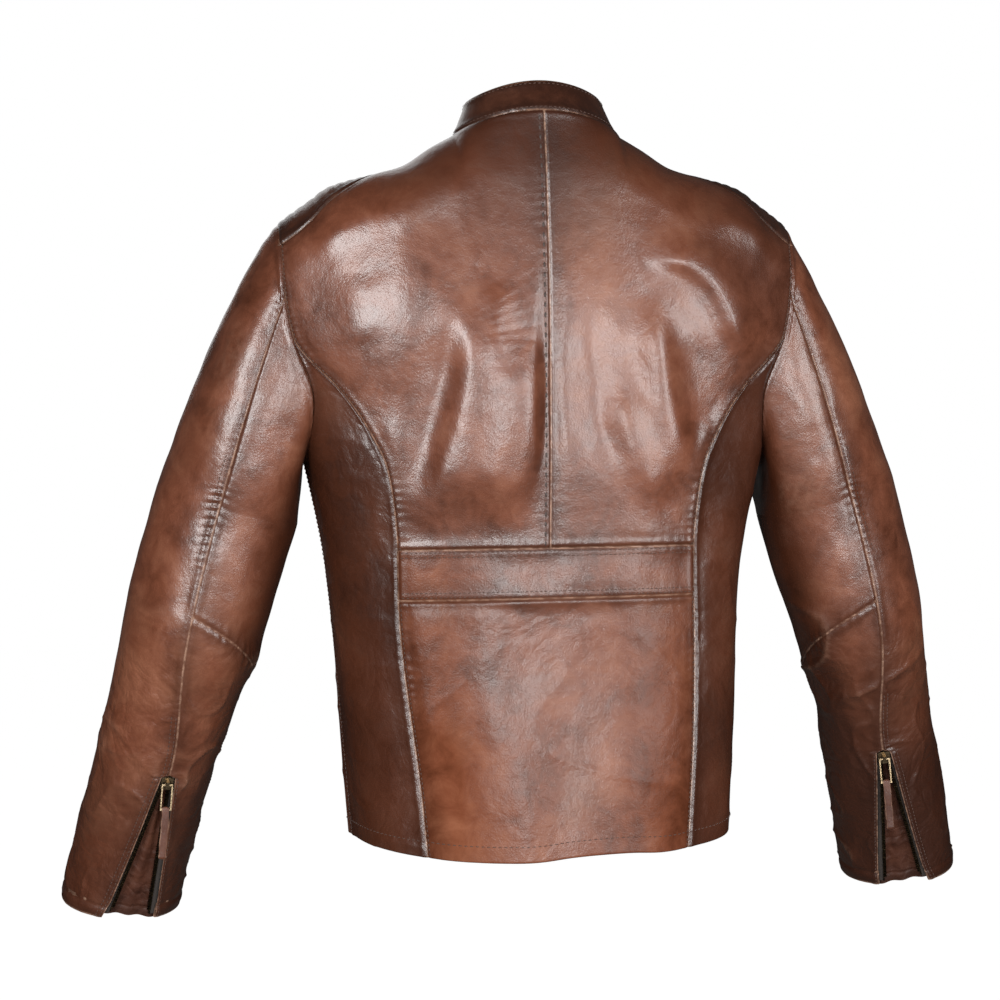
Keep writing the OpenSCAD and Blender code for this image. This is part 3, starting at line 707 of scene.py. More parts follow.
def leather_ring(name, axes, half, rim, low, high, slot, seed):
    """Flat frame of leather round a window, with rounded edges: pocket welt or loop."""
    mid, x, y, z = axes
    away = np.array([0, 0.02, 0.12, 0.5, 0.88, 0.98, 1, 1, 0, 0])
    up = np.array([0.0, 0.75, 0.93, 1.0, 0.93, 0.75, 0.0, 0, 0, 0])
    tt, kk = grid_of(np.linspace(0, 2 * math.pi, 360), np.arange(len(away)))
    out, rise = away[kk] * rim, up[kk]
    w, way = window_edge(tt, half)
    q = w + way * out[..., None]
    p = mid + q[..., :1] * x + q[..., 1:] * y + mix(low, high, rise)[..., None] * z
    p = p + (0.25 * waves(p, 20, seed) * (rise > 0))[..., None] * z
    edge = np.minimum(out, rim - out)
    values = {"seam_mm": edge * 1.5, "fold": 0 * edge, "crush": 0 * edge + 0.1}
    obj = grid_mesh(name, p, slot, values)
    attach(obj, "torso")
    return obj


def back_panels(side, tag):
    spine = SADDLE if side > 0 else SPINE
    leather_panel(f"back_panel_{tag}", inner_maker(1, 0, BELT_Z), (375, 229),
                  {"bottom": PLAIN, "top": QUIET, "first": spine, "last": CURVED},
                  back_shape, "torso", [f"back_{tag}_panel"], side, burn=burn_back)
    leather_panel(f"side_back_{tag}_skin", outer_maker(1), (440, 100),
                  {"top": QUIET, "first": PLAIN, "last": TOP}, side_shape, "torso",
                  [f"side_back_{tag}"], side, hem=True, burn=burn_side, crush=0.1)


def front_panels(side, tag):
    by_zip = Seam(pucker=0.35, dip=0.6, rows=(4,))
    leather_panel(f"front_panel_{tag}", inner_maker(-1, 7, None), (630, 208),
                  {"top": TOP, "first": by_zip, "last": CURVED}, front_shape, "torso",
                  [f"front_{tag}_panel"], side, flip=side > 0, hem=True, window=pocket_window(side))
    leather_panel(f"side_front_{tag}_skin", outer_maker(-1), (440, 90),
                  {"top": QUIET, "first": PLAIN, "last": QUIET}, side_shape, "torso",
                  [f"side_front_{tag}"], side, flip=side > 0, hem=True)


def waist_panels():
    leather_panel("belt_skin", band_maker(BELT_Z, LOWER_Z, 1.2), (44, 266),
                  {"bottom": BELTED, "top": BELTED, "first": PLAIN, "last": PLAIN},
                  belt_shape, "torso", ["back_belt_panel"], burn=burn_skirt)
    leather_panel("lower_back_skin", band_maker(LOWER_Z, None, 0), (230, 266),
                  {"top": PLAIN, "first": CURVED, "last": CURVED}, skirt_shape, "torso",
                  ["back_lower_panel"], hem=True, burn=burn_skirt, crush=0.04)


def body_panels():
    for side, tag in SIDES:
        back_panels(side, tag)
        front_panels(side, tag)
        leather_panel(f"shoulder_ribs_{tag}", patch_make, (150, 92),
                      {"bottom": QUIET, "top": QUIET, "last": QUIET}, ribs, "torso",
                      [f"shoulder_patch_{tag}"], side, slot="leather_dark")
    waist_panels()


# ---------- collar ----------

COLLAR_H, COLLAR_END = 32, math.asin(9 / NECK_HALF)
COLLAR_FOOT = Seam(dip=1.0, pucker=0.25, rows=())
COLLAR_TOP = Seam(dip=0.0, ridge=0.35, pucker=0.25, pitch=7, reach=6, rows=())
TAB_LIFT, SNAP_UP, TAB_HALF = 4.6, 16.5, 9.5


def collar_point(a, up, out):
    c, s = np.cos(a), np.sin(a)
    p = stack(NECK_HALF * s, NECK_Y + c * np.where(c > 0, -NECK_Y, NECK_Y - NECK_FRONT_Y),
              np.where(c > 0, -13 * s * s, mix(-13, NECK_FRONT_Z, -c)))
    inward = unit(stack(-p[..., 0], -88 - p[..., 1], 0 * a))
    lean = np.radians(30) * mix(0.5, 1, (1 + c) / 2)
    cl, sl = np.cos(lean)[..., None], np.sin(lean)[..., None]
    z = np.array([0, 0, 1.0])
    return p + z * 0.3 + (z * cl + inward * sl) * up[..., None] + (z * sl - inward * cl) * out[..., None]


def collar():
    """Band folded over its top edge: up the outside, round, and down the inside."""
    n = int(560 / STEP)
    a = np.linspace(-math.pi + COLLAR_END, math.pi - COLLAR_END, n)
    rows = int(COLLAR_H / STEP * 1.6)
    rise = np.concatenate([np.linspace(0, 1, rows), [1.03, 1.045, 1.03], np.linspace(1, 0.02, 10)])
    out = np.concatenate([np.zeros(rows), [-0.5, -1.6, -2.8], np.full(10, -3.3)])
    rr, aa = grid_of(rise, a)
    oo = np.repeat(out[:, None], n, 1)
    up = rr * COLLAR_H
    base = collar_point(aa, up, oo)
    outer = (oo > -0.1)
    run = along(base, 1)
    lift = seam_lift(COLLAR_FOOT, up, run, 5) * outer
    lift += seam_lift(COLLAR_TOP, COLLAR_H - up, run, 6) * outer
    lift += 0.5 * waves(base, 26, 7) * outer
    p = collar_point(aa, up, oo + lift)
    seam_mm = np.where(outer, np.minimum(up, COLLAR_H - up), 6)
    obj = grid_mesh("collar_skin", p, "leather_dark", {"seam_mm": seam_mm, "fold": lift}, True)
    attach(obj, "torso")
    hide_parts("collar_band", "collar_lining")
    for h in (2.4, COLLAR_H - 3.2):
        line = collar_point(a, np.full(n, h), np.full(n, 0.35))
        add_stitches("torso", line, unit(line - collar_point(a, np.full(n, h), np.full(n, -5.0))))


def snap_tab():
    n, m = 60, 24
    a = math.pi - mix(math.asin(34 / NECK_HALF), -math.asin(30 / NECK_HALF), np.linspace(0, 1, n))
    v = np.linspace(-1, 1, m)
    vv, aa = grid_of(v, a)
    point = np.clip((np.arange(n) / (n - 1) - 0.88) / 0.12, 0, 1)
    half = TAB_HALF * np.sqrt(1 - 0.75 * point ** 2)
    rim = 1 - np.abs(vv) ** 8
    parts = []
    for out, sign in ((TAB_LIFT, 1), (TAB_LIFT / 2, -1)):
        parts.append(collar_point(aa, SNAP_UP + vv * half, 0 * aa + out - 0.5 * (1 - rim) * sign))
    g = np.concatenate([parts[0], parts[1][::-1], parts[0][:1]], 0)
    seam = (1 - np.abs(vv)) * TAB_HALF
    seam = np.concatenate([seam, seam[::-1], seam[:1]], 0)
    obj = grid_mesh("snap_tab_skin", g, "leather_dark", {"seam_mm": seam, "fold": seam * 0}, True)
    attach(obj, "collar_tab")
    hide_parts("collar_tab")
    for w in (-1, 1):
        up = SNAP_UP + w * (half - 2.4)
        line = collar_point(a, up, np.full(n, TAB_LIFT + 0.1))
        add_stitches("collar_tab", line, unit(line - collar_point(a, up, np.zeros(n))))


# ---------- sleeves ----------

SPLIT_Z = -388
LEG_HALF = 6.2


def leg_angle(z, way):
    return LEG_MIDDLE + way * LEG_SPREAD * np.clip((SLOT_Z - z) / SLOT_LEN, 0, 1)


def slot_edge(z, way):
    open_ = smooth((SLOT_Z - 1.5 - z) / 3)
    return mix(rear_seam(z), leg_angle(z, way) + way * LEG_HALF, open_)


def sleeve_rows():
    """Rows from the cuff up to the armhole: (height, share of the sleeve head or -1)."""
    low = list(np.arange(CUFF_Z, SLOT_Z - 12, STEP)) + list(np.arange(SLOT_Z - 12, SLOT_Z + 2, 1.0))
    low += list(np.arange(SLOT_Z + 2, CAP_END, STEP))
    z = np.array([r for r in low if r < CAP_END])
    k = 1 - spread(150, STEP)
    return z, k


def sleeve_surface():
    """Points of the sleeve from cuff to armhole, with the turn round the arm and the height."""
    z, k = sleeve_rows()
    cols = spread(400, STEP)
    zz, ss = grid_of(z, cols)
    low = np.radians(mix(slot_edge(zz, 1), slot_edge(zz, -1) + 360, ss))
    kk, ss = grid_of(k, cols)
    start = mix(70.0, float(rear_seam(CAP_END)), kk)
    high = np.radians(mix(start, start + 360, ss))
    height = np.concatenate([zz, np.full(kk.shape, float(CAP_END))])
    return np.concatenate([tube(low, zz), head(high, kk)]), np.concatenate([low, high]), height


REAR_UNDER = Seam(pucker=0.35, pitch=7.4, reach=7, dip=1.1, ridge=0.3, rows=())
REAR_TOP = Seam(pucker=1.0, pitch=6.6, reach=9, dip=0.8, ridge=0.2, rows=())
ZIP_LEG = Seam(dip=0.3, ridge=0.5, pucker=0.25, rows=())
ARMHOLE = Seam(dip=1.0, ridge=0.9, at=6, wide=4, pucker=0.5, pitch=9, reach=10, rows=())
FRONT = Seam(pucker=0.3, rows=())
ELBOW = Seam(pucker=0.8, pitch=8, reach=9, rows=())


class SleeveGrid:
    """The sleeve's points, and the distances by which seams and stitching are laid out."""

    def __init__(self, side):
        g, self.angle, self.height = sleeve_surface()
        self.g, self.side = mirror(g, side), side
        self.n = grid_normals(self.g) * -side
        self.turn = np.degrees(self.angle)
        self.across, self.up = along(self.g, 1), along(self.g, 0)
        self.total = self.across[:, -1:]
        self.rear = np.minimum(self.across, self.total - self.across)
        self.top = self.up[-1:] - self.up
        self.front = np.abs(self.turn - FRONT_SEAM) * math.radians(1) * arm_r(self.height)
        elbow_line = ELBOW_Z + 13 - 57 * np.clip((self.turn - 85) / 90, 0, 1.2)
        self.elbow = np.abs(self.g[..., 2] - elbow_line)
        self.under = (self.turn < FRONT_SEAM) & (self.turn > 80)
        self.split = int(np.argmin(np.abs(self.g[:, self.g.shape[1] // 2, 2] - SPLIT_Z)))


def sleeve_folds(p, angle, side):
    """Elbow and forearm crumples, long soft folds above, and the sleeve head's fullness."""
    turn = (np.degrees(angle) - 90 + 180) % 360 - 180
    inner = bell(turn - 35, 75)
    z = p[..., 2]
    elbow = bell(z + 500, 55)
    low = smooth((-470 - z) / 60)
    lift = 1.5 * waves(p, 60, 41 + side, (1, 1, 2.2))
    lift += crumple(p, 44, 43 + side, (2.4, 2.4, 0.9), 5.0) * elbow * (0.3 + 0.7 * inner)
    lift += crumple(p, 27, 47 + side, (1.2, 1.2, 0.9), 2.2) * low * (0.45 + 0.55 * inner)
    lift += crumple(p, 14, 53 + side, (1.2, 1.2, 1), 0.9) * low * (0.3 + 0.7 * inner)
    lift += 0.5 * waves(p, 16, 49 + side, (1.2, 1.2, 1))
    lift += 1.8 * waves(p, 35, 51 + side, (1, 1, 3)) * smooth((z + 420) / 80)
    return lift * (smooth((z - CUFF_Z + 4) / 22) * 0.85 + 0.15)


def sleeve_seams(q):
    """Heights of the rear, armhole, front and elbow seams and of the turned cuff edge."""
    rear = np.where(q.across < q.total / 2, seam_lift(REAR_UNDER, q.rear, q.up, 61),
                    seam_lift(REAR_TOP, q.rear, q.up, 61))
    in_slot = smooth((SLOT_Z - 6 - q.height) / 6)
    fade = smooth((FRONT_SEAM - q.turn) / 25) * q.under
    rim = q.up + 1.2 * waves(q.g, 30, 55)
    return [mix(rear, seam_lift(ZIP_LEG, q.rear, q.up, 62), in_slot),
            seam_lift(ARMHOLE, q.top, q.across, 63),
            seam_lift(FRONT, q.front, q.up, 64),
            seam_lift(ELBOW, q.elbow, q.across, 65) * fade,
            (0.7 * bell(rim - 7, 4) - 0.9 * bell(rim - 13, 1.8)) * smooth(q.up / 4)]


def sleeve_wear(q, lift):
    """Values for the leather: nearness of a seam, rubbed and highlighted folds, painted shade and small
    creases.
    """
    z = q.g[..., 2]
    near = np.minimum(np.minimum(q.rear, q.top * 1.3),
                      np.minimum(q.front, np.where(q.under, q.elbow, FAR)))
    # Painted shade: darker towards the cuffs, more so on the right forearm, and most on the side that
    # faces the body.
    burn = 0.4 * smooth((-540 - z) / 100) + (0.55 * smooth((-440 - z) / 100) if q.side < 0 else 0)
    facing_in = smooth((q.turn % 360 - 110) / 50) * smooth((290 - q.turn % 360) / 40)
    crush = 0.14 * smooth((-440 - z) / 60) * (0.2 + 0.8 * smooth((q.turn - 95) / 40))
    return {"seam_mm": np.minimum(near, q.up * 0.9), "fold": 0.45 * lift,
            "burn": np.clip(burn + 0.9 * facing_in, 0, 1),
            "crush": crush * smooth((z + 712) / 10) + 0.03}


def sleeve_stitches(q, p, tag):
    """Rows beside the rear seam on its outer side, and up both edges of the cuff zip."""
    rows_z = q.height[:, 0]
    zip_top, elbow = (int(np.argmin(np.abs(rows_z - h))) for h in (SLOT_Z, ELBOW_Z - 50))
    cap = len(rows_z) - 60
    for off, edge, low in ((2.6, "last", elbow), (2.4, "first", zip_top), (6.6, "last", elbow)):
        distance = q.across if edge == "first" else q.total - q.across
        line, m = offset_line(p, q.n, distance, edge, off)
        add_stitches(f"forearm_{tag}", line[:low], m[:low])
        if edge == "last":
            add_stitches(f"sleeve_{tag}", line[q.split:cap], m[q.split:cap])


def shoulder_blend(obj):
    """Bakes the object's transform into its mesh, for the leather and lining near the armhole."""
    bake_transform(obj)


def elbow_blend(obj, side):
    axis = mirror(unit(arm(np.array(-500.0)) - arm(np.array(-405.0))), side)
    mid = mirror(arm(np.array(float(ELBOW_Z))), side)
    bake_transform(obj)


def sleeve(side, tag):
    q = SleeveGrid(side)
    lift = sleeve_folds(q.g, q.angle, side) * (smooth(q.top / 22) * smooth(q.rear / 12 + 0.15))
    for height in sleeve_seams(q):
        lift += height
    p = q.g + q.n * lift[..., None]
    values = sleeve_wear(q, lift)
    sleeve_stitches(q, p, tag)
    upper = grid_mesh(f"upper_sleeve_{tag}", p[q.split:], "leather",
                      {key: v[q.split:] for key, v in values.items()}, True)
    shoulder_blend(upper)
    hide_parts(f"sleeve_top_{tag}", f"sleeve_under_{tag}")
    below = slice(0, q.split + 1)
    pl, values = turn_under(p[below], q.n[below], {key: v[below] for key, v in values.items()})
    lower = grid_mesh(f"lower_sleeve_{tag}", pl, "leather", values, True)
    elbow_blend(lower, side)
    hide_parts(f"forearm_top_{tag}", f"forearm_under_{tag}")


# ---------- hardware and inside ----------

def leather_tab(name, node, body_name):
    """Folded leather strip on a zip pull, in place of the plain CAD tab."""
    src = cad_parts[node]
    pts = np.array([src.matrix_world @ v.co for v in src.data.vertices]) / MM
    c = pts.mean(0)
    _, _, axes = np.linalg.svd(pts - c)
    ext = [(pts - c) @ a for a in axes]
    half = [(e.max() - e.min()) / 2 for e in ext]
    mid = c + sum(a * (e.max() + e.min()) / 2 for a, e in zip(axes, ext))
    tt, rr = grid_of(np.linspace(-1, 1, 40), np.linspace(0, 2 * math.pi, 25))
    end = np.sqrt(np.maximum(0, 1 - np.maximum(0, (np.abs(tt) - 0.94) / 0.06) ** 2))
    wide = half[1] * (0.98 - 0.06 * np.cos(tt * 9)) * (0.25 + 0.75 * end)
    thick = half[2] * 0.92 * (0.35 + 0.65 * end)
    c, s = signed_power(np.cos(rr), 0.45), signed_power(np.sin(rr), 0.45)
    bend = 0.6 * np.sin(tt * 2.2)
    g = (mid + (tt * half[0])[..., None] * axes[0] + (wide * c)[..., None] * axes[1]
         + (thick * s + bend)[..., None] * axes[2])
    edge = half[1] * (1 - np.abs(c))
    obj = grid_mesh(name, g, "leather_tab", {"seam_mm": edge * 1.5, "fold": edge * 0})
    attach(obj, body_name)
    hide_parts(node)


def cloth_sheet(name, parts, nodes, body_name, slot="cloth"):
    """One mesh of several grids of cloth. Without a body, the caller bakes its transform instead."""
    verts, faces, base = [], [], 0
    for g in parts:
        rows, cols = g.shape[:2]
        verts.append(g.reshape(-1, 3))
        faces.append(grid_faces(rows, cols) + base)
        base += rows * cols
    obj = make_mesh(name, np.vstack(verts), np.vstack(faces), slot)
    if body_name:
        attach(obj, body_name)
    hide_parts(*nodes)
    return obj


ROW_HALF, POST_GAP, ZIP_DEPTH, CUFF_DEPTH = 1.6, 0.6, 3.9, 4.6
POCKET_TAPE, CUFF_TAPE = 9, 5.6         # widths of the tapes beside the teeth


def tape(a, b, out, way, inner, width):
    """Woven tape beside one row of teeth, from a to b, with a slight ripple. width is a
    number, or a function of the distance from a."""
    x = unit(b - a)
    z = unit(out - x * (out @ x))
    y = np.cross(z, x) * way
    length = float(np.linalg.norm(b - a))
    t = np.linspace(0, length, int(length / 2))
    shares = np.array([0, 0.35, 0.7, 1, 1, 0.7, 0.35, 0, 0])
    faces = np.array([1, 1, 1, 1, -1, -1, -1, -1, 1]) * 0.32
    tt, ss = grid_of(t, shares)
    across = inner + ss * (width(tt) if callable(width) else width)
    ripple = 0.2 * waves(stack(tt, across, 0 * tt), 12, 97) * ss
    return a + tt[..., None] * x + across[..., None] * y + (faces + ripple)[..., None] * z


def cuff_legs():
    """Ends of the left cuff zip's two legs, and the directions across and out of it."""
    top, inn, out = (tube(np.array(math.radians(LEG_MIDDLE + turn)), np.array(z), CUFF_DEPTH)
                     for turn, z in ((0, SLOT_Z - 7.0), (LEG_SPREAD, CUFF_Z + 5.0),
                                     (-LEG_SPREAD, CUFF_Z + 5.0)))
    return top, inn, out, unit(inn - out), unit(np.cross(out - top, inn - top))


def front_tape_width(down):
    """The front tape is narrow beside the collar and full width lower down."""
    return mix(2.4, 12, smooth((down - 46) / 8))


def zip_tapes():
    start = ROW_HALF + POST_GAP
    top, bottom = (np.array([0, float(front_y(z)) + ZIP_DEPTH, z]) for z in (-98.0, HEM_Z + 16.0))
    front = [tape(top, bottom, np.array([0, -1.0, 0]), way, start + ROW_HALF, front_tape_width)
             for way in (1, -1)]
    cloth_sheet("main_tapes", front, ["main_zip_tape"], "torso", "tape")
    pockets = []
    for side in (1, -1):
        mid, x, _, z = pocket_frame(side)
        a = mid + x * (1 - POCKET_LEN / 2) + z * (1 - ZIP_DEPTH)
        pockets += [tape(a, a + x * (POCKET_LEN - 2), z, way, start + ROW_HALF, POCKET_TAPE)
                    for way in (1, -1)]
    cloth_sheet("pocket_tapes", pockets, ["pocket_zip_tapes"], "torso", "tape")
    top, inn, out, across, face = cuff_legs()
    legs = [tape(top + way * across * start, end, face + way * 0.21 * across, way, ROW_HALF, CUFF_TAPE)
            for way, end in ((1, inn), (-1, out))]
    for side, tag in SIDES:
        cloth_sheet(f"cuff_tapes_{tag}", [mirror(g, side) for g in legs], [f"cuff_zip_tape_{tag}"],
                    f"forearm_{tag}", "tape")


CLOTH_TOP = ARMPIT_Z - 12
BODY_AXIS = np.array([0, -105, 0.0])


def away_from_body(g):
    """Normals of a grid, turned to point away from the middle of the body."""
    n = grid_normals(g)
    return n * np.sign(((g - BODY_AXIS) * n)[..., :2].sum(-1))[..., None]


def quilt(g, depth, seed):
    n = away_from_body(g)
    soft = 1.2 * waves(g, 40, seed) + 0.5 * waves(g, 15, seed + 1)
    return g - n * (depth - soft)[..., None]


def torso_cloth():
    """Cloth below the armpits, over the upper back, and over both upper fronts."""
    tt_half = np.radians(167)
    zz, tt = grid_of(np.linspace(-625, CLOTH_TOP, 90), np.linspace(-tt_half, tt_half, 160))
    p = outline(np.abs(tt), zz)
    p[..., 0] *= np.sign(tt) + (tt == 0)
    uu, xx = grid_of(np.linspace(0, 1, 70), np.linspace(-205, 205, 110))
    b = body(np.abs(xx), mix(CLOTH_TOP, ridge_z(np.abs(xx), 1) - 20, uu), 1)
    b[..., 0] = xx
    uu, xx = grid_of(np.linspace(0, 1, 60), np.linspace(38, 178, 50))
    top = ridge_z(np.maximum(xx, 84), -1) - 26 - 78 * smooth((94 - xx) / 20)
    f = body(xx, mix(CLOTH_TOP, top, uu), -1)
    fronts = [quilt(mirror(f, side), 10, 73) for side, _ in SIDES]
    return [quilt(p, 11.5, 71), quilt(b, 11.5, 72), *fronts]


def sleeve_linings(side, tag):
    turn = np.radians(np.linspace(-75, 285, 60))
    zz, aa = grid_of(np.linspace(CUFF_Z + 8, ELBOW_Z - 5, 60), turn)
    g = tube(aa, zz, 15)
    g = g + 0.8 * (waves(g, 25, 75)[..., None]) * unit(g - arm(zz))
    cloth_sheet(f"forearm_cloth_{tag}", [mirror(g, side)], [f"forearm_lining_{tag}"],
                f"forearm_{tag}")
    kk, ak = grid_of(np.linspace(1, 0.14, 30), turn)
    out, back = arm_frame(np.full(ak.shape, float(CAP_END)))
    cap = head(ak, kk) - 6 * (np.cos(ak)[..., None] * out + np.sin(ak)[..., None] * back)
    zz, aa = grid_of(np.linspace(ELBOW_Z + 3, CAP_END, 30), turn)
    upper = mirror(np.concatenate([tube(aa, zz, 6), cap]), side)
    cloth = cloth_sheet(f"sleeve_cloth_{tag}", [upper], [f"sleeve_lining_{tag}"], None)
    shoulder_blend(cloth)


def linings():
    cloth_sheet("body_lining", torso_cloth(), ["torso_lining"], "torso")
    for side, tag in SIDES:
        sleeve_linings(side, tag)


def strip(name, rails, node, thick, seed):
    """Leather strip of both faces from a grid of points along its middle."""
    g = rails + 0.4 * waves(rails, 22, seed)[..., None] * grid_normals(rails)
    n = grid_normals(g)
    both = np.concatenate([g + n * thick / 2, (g - n * thick / 2)[::-1],
                           (g + n * thick / 2)[:1]], 0)
    d = np.minimum(along(g, 1), along(g, 1)[:, -1:] - along(g, 1))
    seam = np.concatenate([d, d[::-1], d[:1]], 0)
    obj = grid_mesh(name, both, "leather", {"seam_mm": seam, "fold": seam * 0})
    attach(obj, "torso")
    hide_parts(node)


def hem_inside():
    zz, tt = grid_of(np.linspace(3, 42, 24), np.radians(np.linspace(-172, 172, 300)))
    h = HEM_Z + HEM_RISE * np.sin(tt) ** 2 + zz
    p = outline(np.abs(tt), h)
    p[..., 0] *= np.sign(tt) + (tt == 0)
    strip("hem_inside", settle(p - away_from_body(p) * 4.6), "hem_facing", 1.0, 81)


def wind_flap():
    uu, xx = grid_of(np.linspace(0, 1, 160), np.linspace(-30, 30, 24))
    z = mix(HEM_Z + 12, NECK_FRONT_Z - 14, uu)
    strip("wind_flap_skin", stack(xx, front_y(z) + 8.9, z), "wind_flap", 1.4, 82)


def pocket_bags():
    uu, xx = grid_of(np.linspace(0, 1, 30), np.linspace(40, 122, 24))
    f = body(xx, mix(-600, -430, uu), -1)
    parts = [quilt(mirror(f, side), 8.7, 83) for side, _ in SIDES]
    cloth_sheet("pocket_cloth", parts, ["pocket_bags"], "torso")


def pocket_leathers():
    for side, tag in SIDES:
        welt = leather_ring(f"welt_skin_{tag}", pocket_frame(side), (POCKET_LEN / 2, POCKET_WIDE / 2),
                            WELT, -2.2, 1.2, "leather", 95)
        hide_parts("pocket_welts")
    axes = np.array([(0, -14, -8), (1, 0, 0), (0, 0, 1), (0, -1, 0)], float)
    loop = leather_ring("loop_skin", axes, (26.5, 3), 5.5, 0, 1.6, "leather_dark", 96)
    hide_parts("hang_loop")


def gusset(side, tag):
    """Soft bellows of leather behind the open cuff zip."""
    top, inn, out, _, face = cuff_legs()
    down = unit(inn + out - 2 * top)
    across = np.cross(face, down)
    uu, vv = grid_of(np.linspace(-6, 156, 114), np.linspace(-1, 1, 56))
    half = mix(8, 26.5, (uu + 6) / 143)
    flat = np.stack([uu, vv * half, 0 * uu], -1)
    fold = 1.3 * np.cos(vv * 9) * smooth(uu / 60) + 0.9 * waves(flat, 18, 91)
    fold += 1.2 * creases(flat, 16, 92, (0.5, 1.4, 1)) * smooth(uu / 40)
    fold -= 1.4 * bell(uu - 146, 1.6)
    g = (top + uu[..., None] * down + (vv * half)[..., None] * across + (fold - 5.6)[..., None] * face)
    # The gusset takes a darker copy of the leather as painted shade for its recess.
    obj = grid_mesh(f"gusset_skin_{tag}", mirror(g, side), "leather_painted_shade",
                    {"seam_mm": np.minimum(156 - uu, 30), "fold": 0.3 * fold,
                     "crush": 0 * uu + 0.25})
    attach(obj, f"forearm_{tag}")
    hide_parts(f"cuff_gusset_{tag}")


# ---------- materials ----------

class Nodes:
    """Short helper for building a node tree."""

    def __init__(self, name):
        self.mat = bpy.data.materials.new(name)
        self.mat.use_nodes = True
        self.tree = self.mat.node_tree
        self.bsdf = self.tree.nodes["Principled BSDF"]
        self.coords = self.add("ShaderNodeTexCoord").outputs["Object"]

    def set(self, **inputs):
        """Sets inputs of the main shader; an underscore stands for a space."""
        for key, v in inputs.items():
            self.put(self.bsdf.inputs[key.replace("_", " ")], v)

    def value(self, name):
        return self.add("ShaderNodeAttribute", _attribute_name=name).outputs["Fac"]

    def add(self, kind, **inputs):
        n = self.tree.nodes.new(kind)
        for key, v in inputs.items():
            if key.startswith("_"):
                setattr(n, key[1:], v)
                continue
            sock = n.inputs[int(key[1:])] if key[0] == "i" and key[1:].isdigit() else n.inputs[key]
            self.put(sock, v)
        return n

    def put(self, sock, v):
        if hasattr(v, "is_output"):
            self.tree.links.new(v, sock)
        elif isinstance(v, bpy.types.Node):
            self.tree.links.new(v.outputs[0], sock)
        else:
            sock.default_value = v

    def noise(self, scale, detail=4.0, rough=0.6, distortion=0.0):
        return self.add("ShaderNodeTexNoise", Scale=scale, Detail=detail, Roughness=rough,
                        Distortion=distortion, Vector=self.coords).outputs[0]

    def ramp(self, fac, stops):
        n = self.add("ShaderNodeValToRGB", Fac=fac)
        el = n.color_ramp.elements
        while len(el) > 1:
            el.remove(el[-1])
        el[0].position, el[0].color = stops[0][0], grey(stops[0][1])
        for pos, col in stops[1:]:
            e = el.new(pos)
            e.color = grey(col)
        return n.outputs[0]

    def math(self, op, a, b=0.0, clamp=False):
        return self.add("ShaderNodeMath", _operation=op, _use_clamp=clamp, i0=a, i1=b).outputs[0]

    def times(self, a, b, clamp=False):
        return self.math("MULTIPLY", a, b, clamp)

    def plus(self, a, b, clamp=False):
        return self.math("ADD", a, b, clamp)

    def mixed(self, fac, a, b, mode="MIX"):
        n = self.add("ShaderNodeMix", _data_type="RGBA", _blend_type=mode)
        self.put(n.inputs["Factor"], fac)
        self.put(n.inputs["A"], a)
        self.put(n.inputs["B"], b)
        return n.outputs["Result"]

    def bump(self, height, strength, distance, normal=None):
        n = self.add("ShaderNodeBump", Height=height, Strength=strength, Distance=distance)
        if normal is not None:
            self.put(n.inputs["Normal"], normal)
        return n.outputs[0]


def grey(c):
    return (c, c, c, 1) if isinstance(c, (int, float)) else (*c, 1)


def shade(colour, share):
    return grey(tuple(share * c for c in colour))


def mottled(m, tones, mottle, burn):
    """Cloudy brown with dark blots, and darker still where painted shade is laid on."""
    dark, mid, light, _ = tones
    tone = m.plus(m.times(m.noise(7.0, 5, 0.62, 0.3), 0.55), m.times(mottle, 0.45))
    base = m.ramp(tone, [(0.34, dark), (0.5, mid), (0.68, light)])
    blot = m.ramp(m.noise(14.0, 4, 0.6, 0.8), [(0.5, 0.0), (0.72, 1.0)])
    base = m.mixed(m.times(blot, 0.35), base, shade(dark, 0.55))
    return m.mixed(m.times(burn, m.plus(0.55, mottle), True), base, shade(dark, 0.6))


def wear_and_highlight(m, base, tones, mottle, gain):
    """A ragged dark band beside each seam, rubbed light on its very edge, and lighter on puckers, partly
    as rub wear and partly as painted highlight.
    """
    dark, edge = tones[0], grey(tones[3])
    seam, fold = m.value("seam_mm"), m.value("fold")
    ragged = m.plus(seam, m.times(m.math("SUBTRACT", mottle, 0.5), 16.0))
    band = m.ramp(m.math("DIVIDE", ragged, 24.0), [(0.1, 1.0), (0.45, 0.5), (1.0, 0.0)])
    base = m.mixed(m.times(band, 0.55), base, shade(dark, 0.42))
    patchy = m.ramp(m.noise(120.0, 3, 0.6), [(0.4, 0.25), (0.6, 1.0)])
    rub = m.ramp(m.math("DIVIDE", seam, 8.0), [(0.04, 1.0), (0.09, 0.35), (0.18, 0.0)])
    base = m.mixed(m.times(m.times(rub, patchy), 0.6 * gain), base, edge)
    # Raised seam ridges, puckers and folds are lightened: partly rub wear, partly painted highlight.
    proud = m.ramp(m.math("DIVIDE", fold, 4.0), [(0.12, 0.0), (0.5, 0.6)])
    return m.mixed(m.times(m.times(proud, patchy), 0.36 * gain), base, edge)


def leather_surface(m):
    """Pebbled grain, fine pores and soft unevenness, and creases where it is crushed."""
    cells = m.add("ShaderNodeTexVoronoi", _feature="DISTANCE_TO_EDGE", Vector=m.coords, Scale=420.0)
    pebble = m.math("MINIMUM", cells.outputs["Distance"], 0.35)
    h = m.plus(m.times(pebble, 0.35), m.times(m.noise(95.0, 6, 0.62, 0.5), 0.8))
    h = m.plus(h, m.times(m.noise(260.0, 4, 0.7), 0.25))
    normal = m.bump(m.noise(28.0, 3, 0.5), 0.25, 0.004, m.bump(h, 0.34, 0.0012))
    crush = m.value("crush")
    for scale, deep in ((20.0, 0.0040), (46.0, 0.0016)):
        ridge = m.math("ABSOLUTE", m.math("SUBTRACT", m.noise(scale, 2, 0.45, 1.4), 0.5))
        normal = m.bump(m.math("MINIMUM", m.times(ridge, 7.0), 1.0), crush, deep, normal)
    return normal


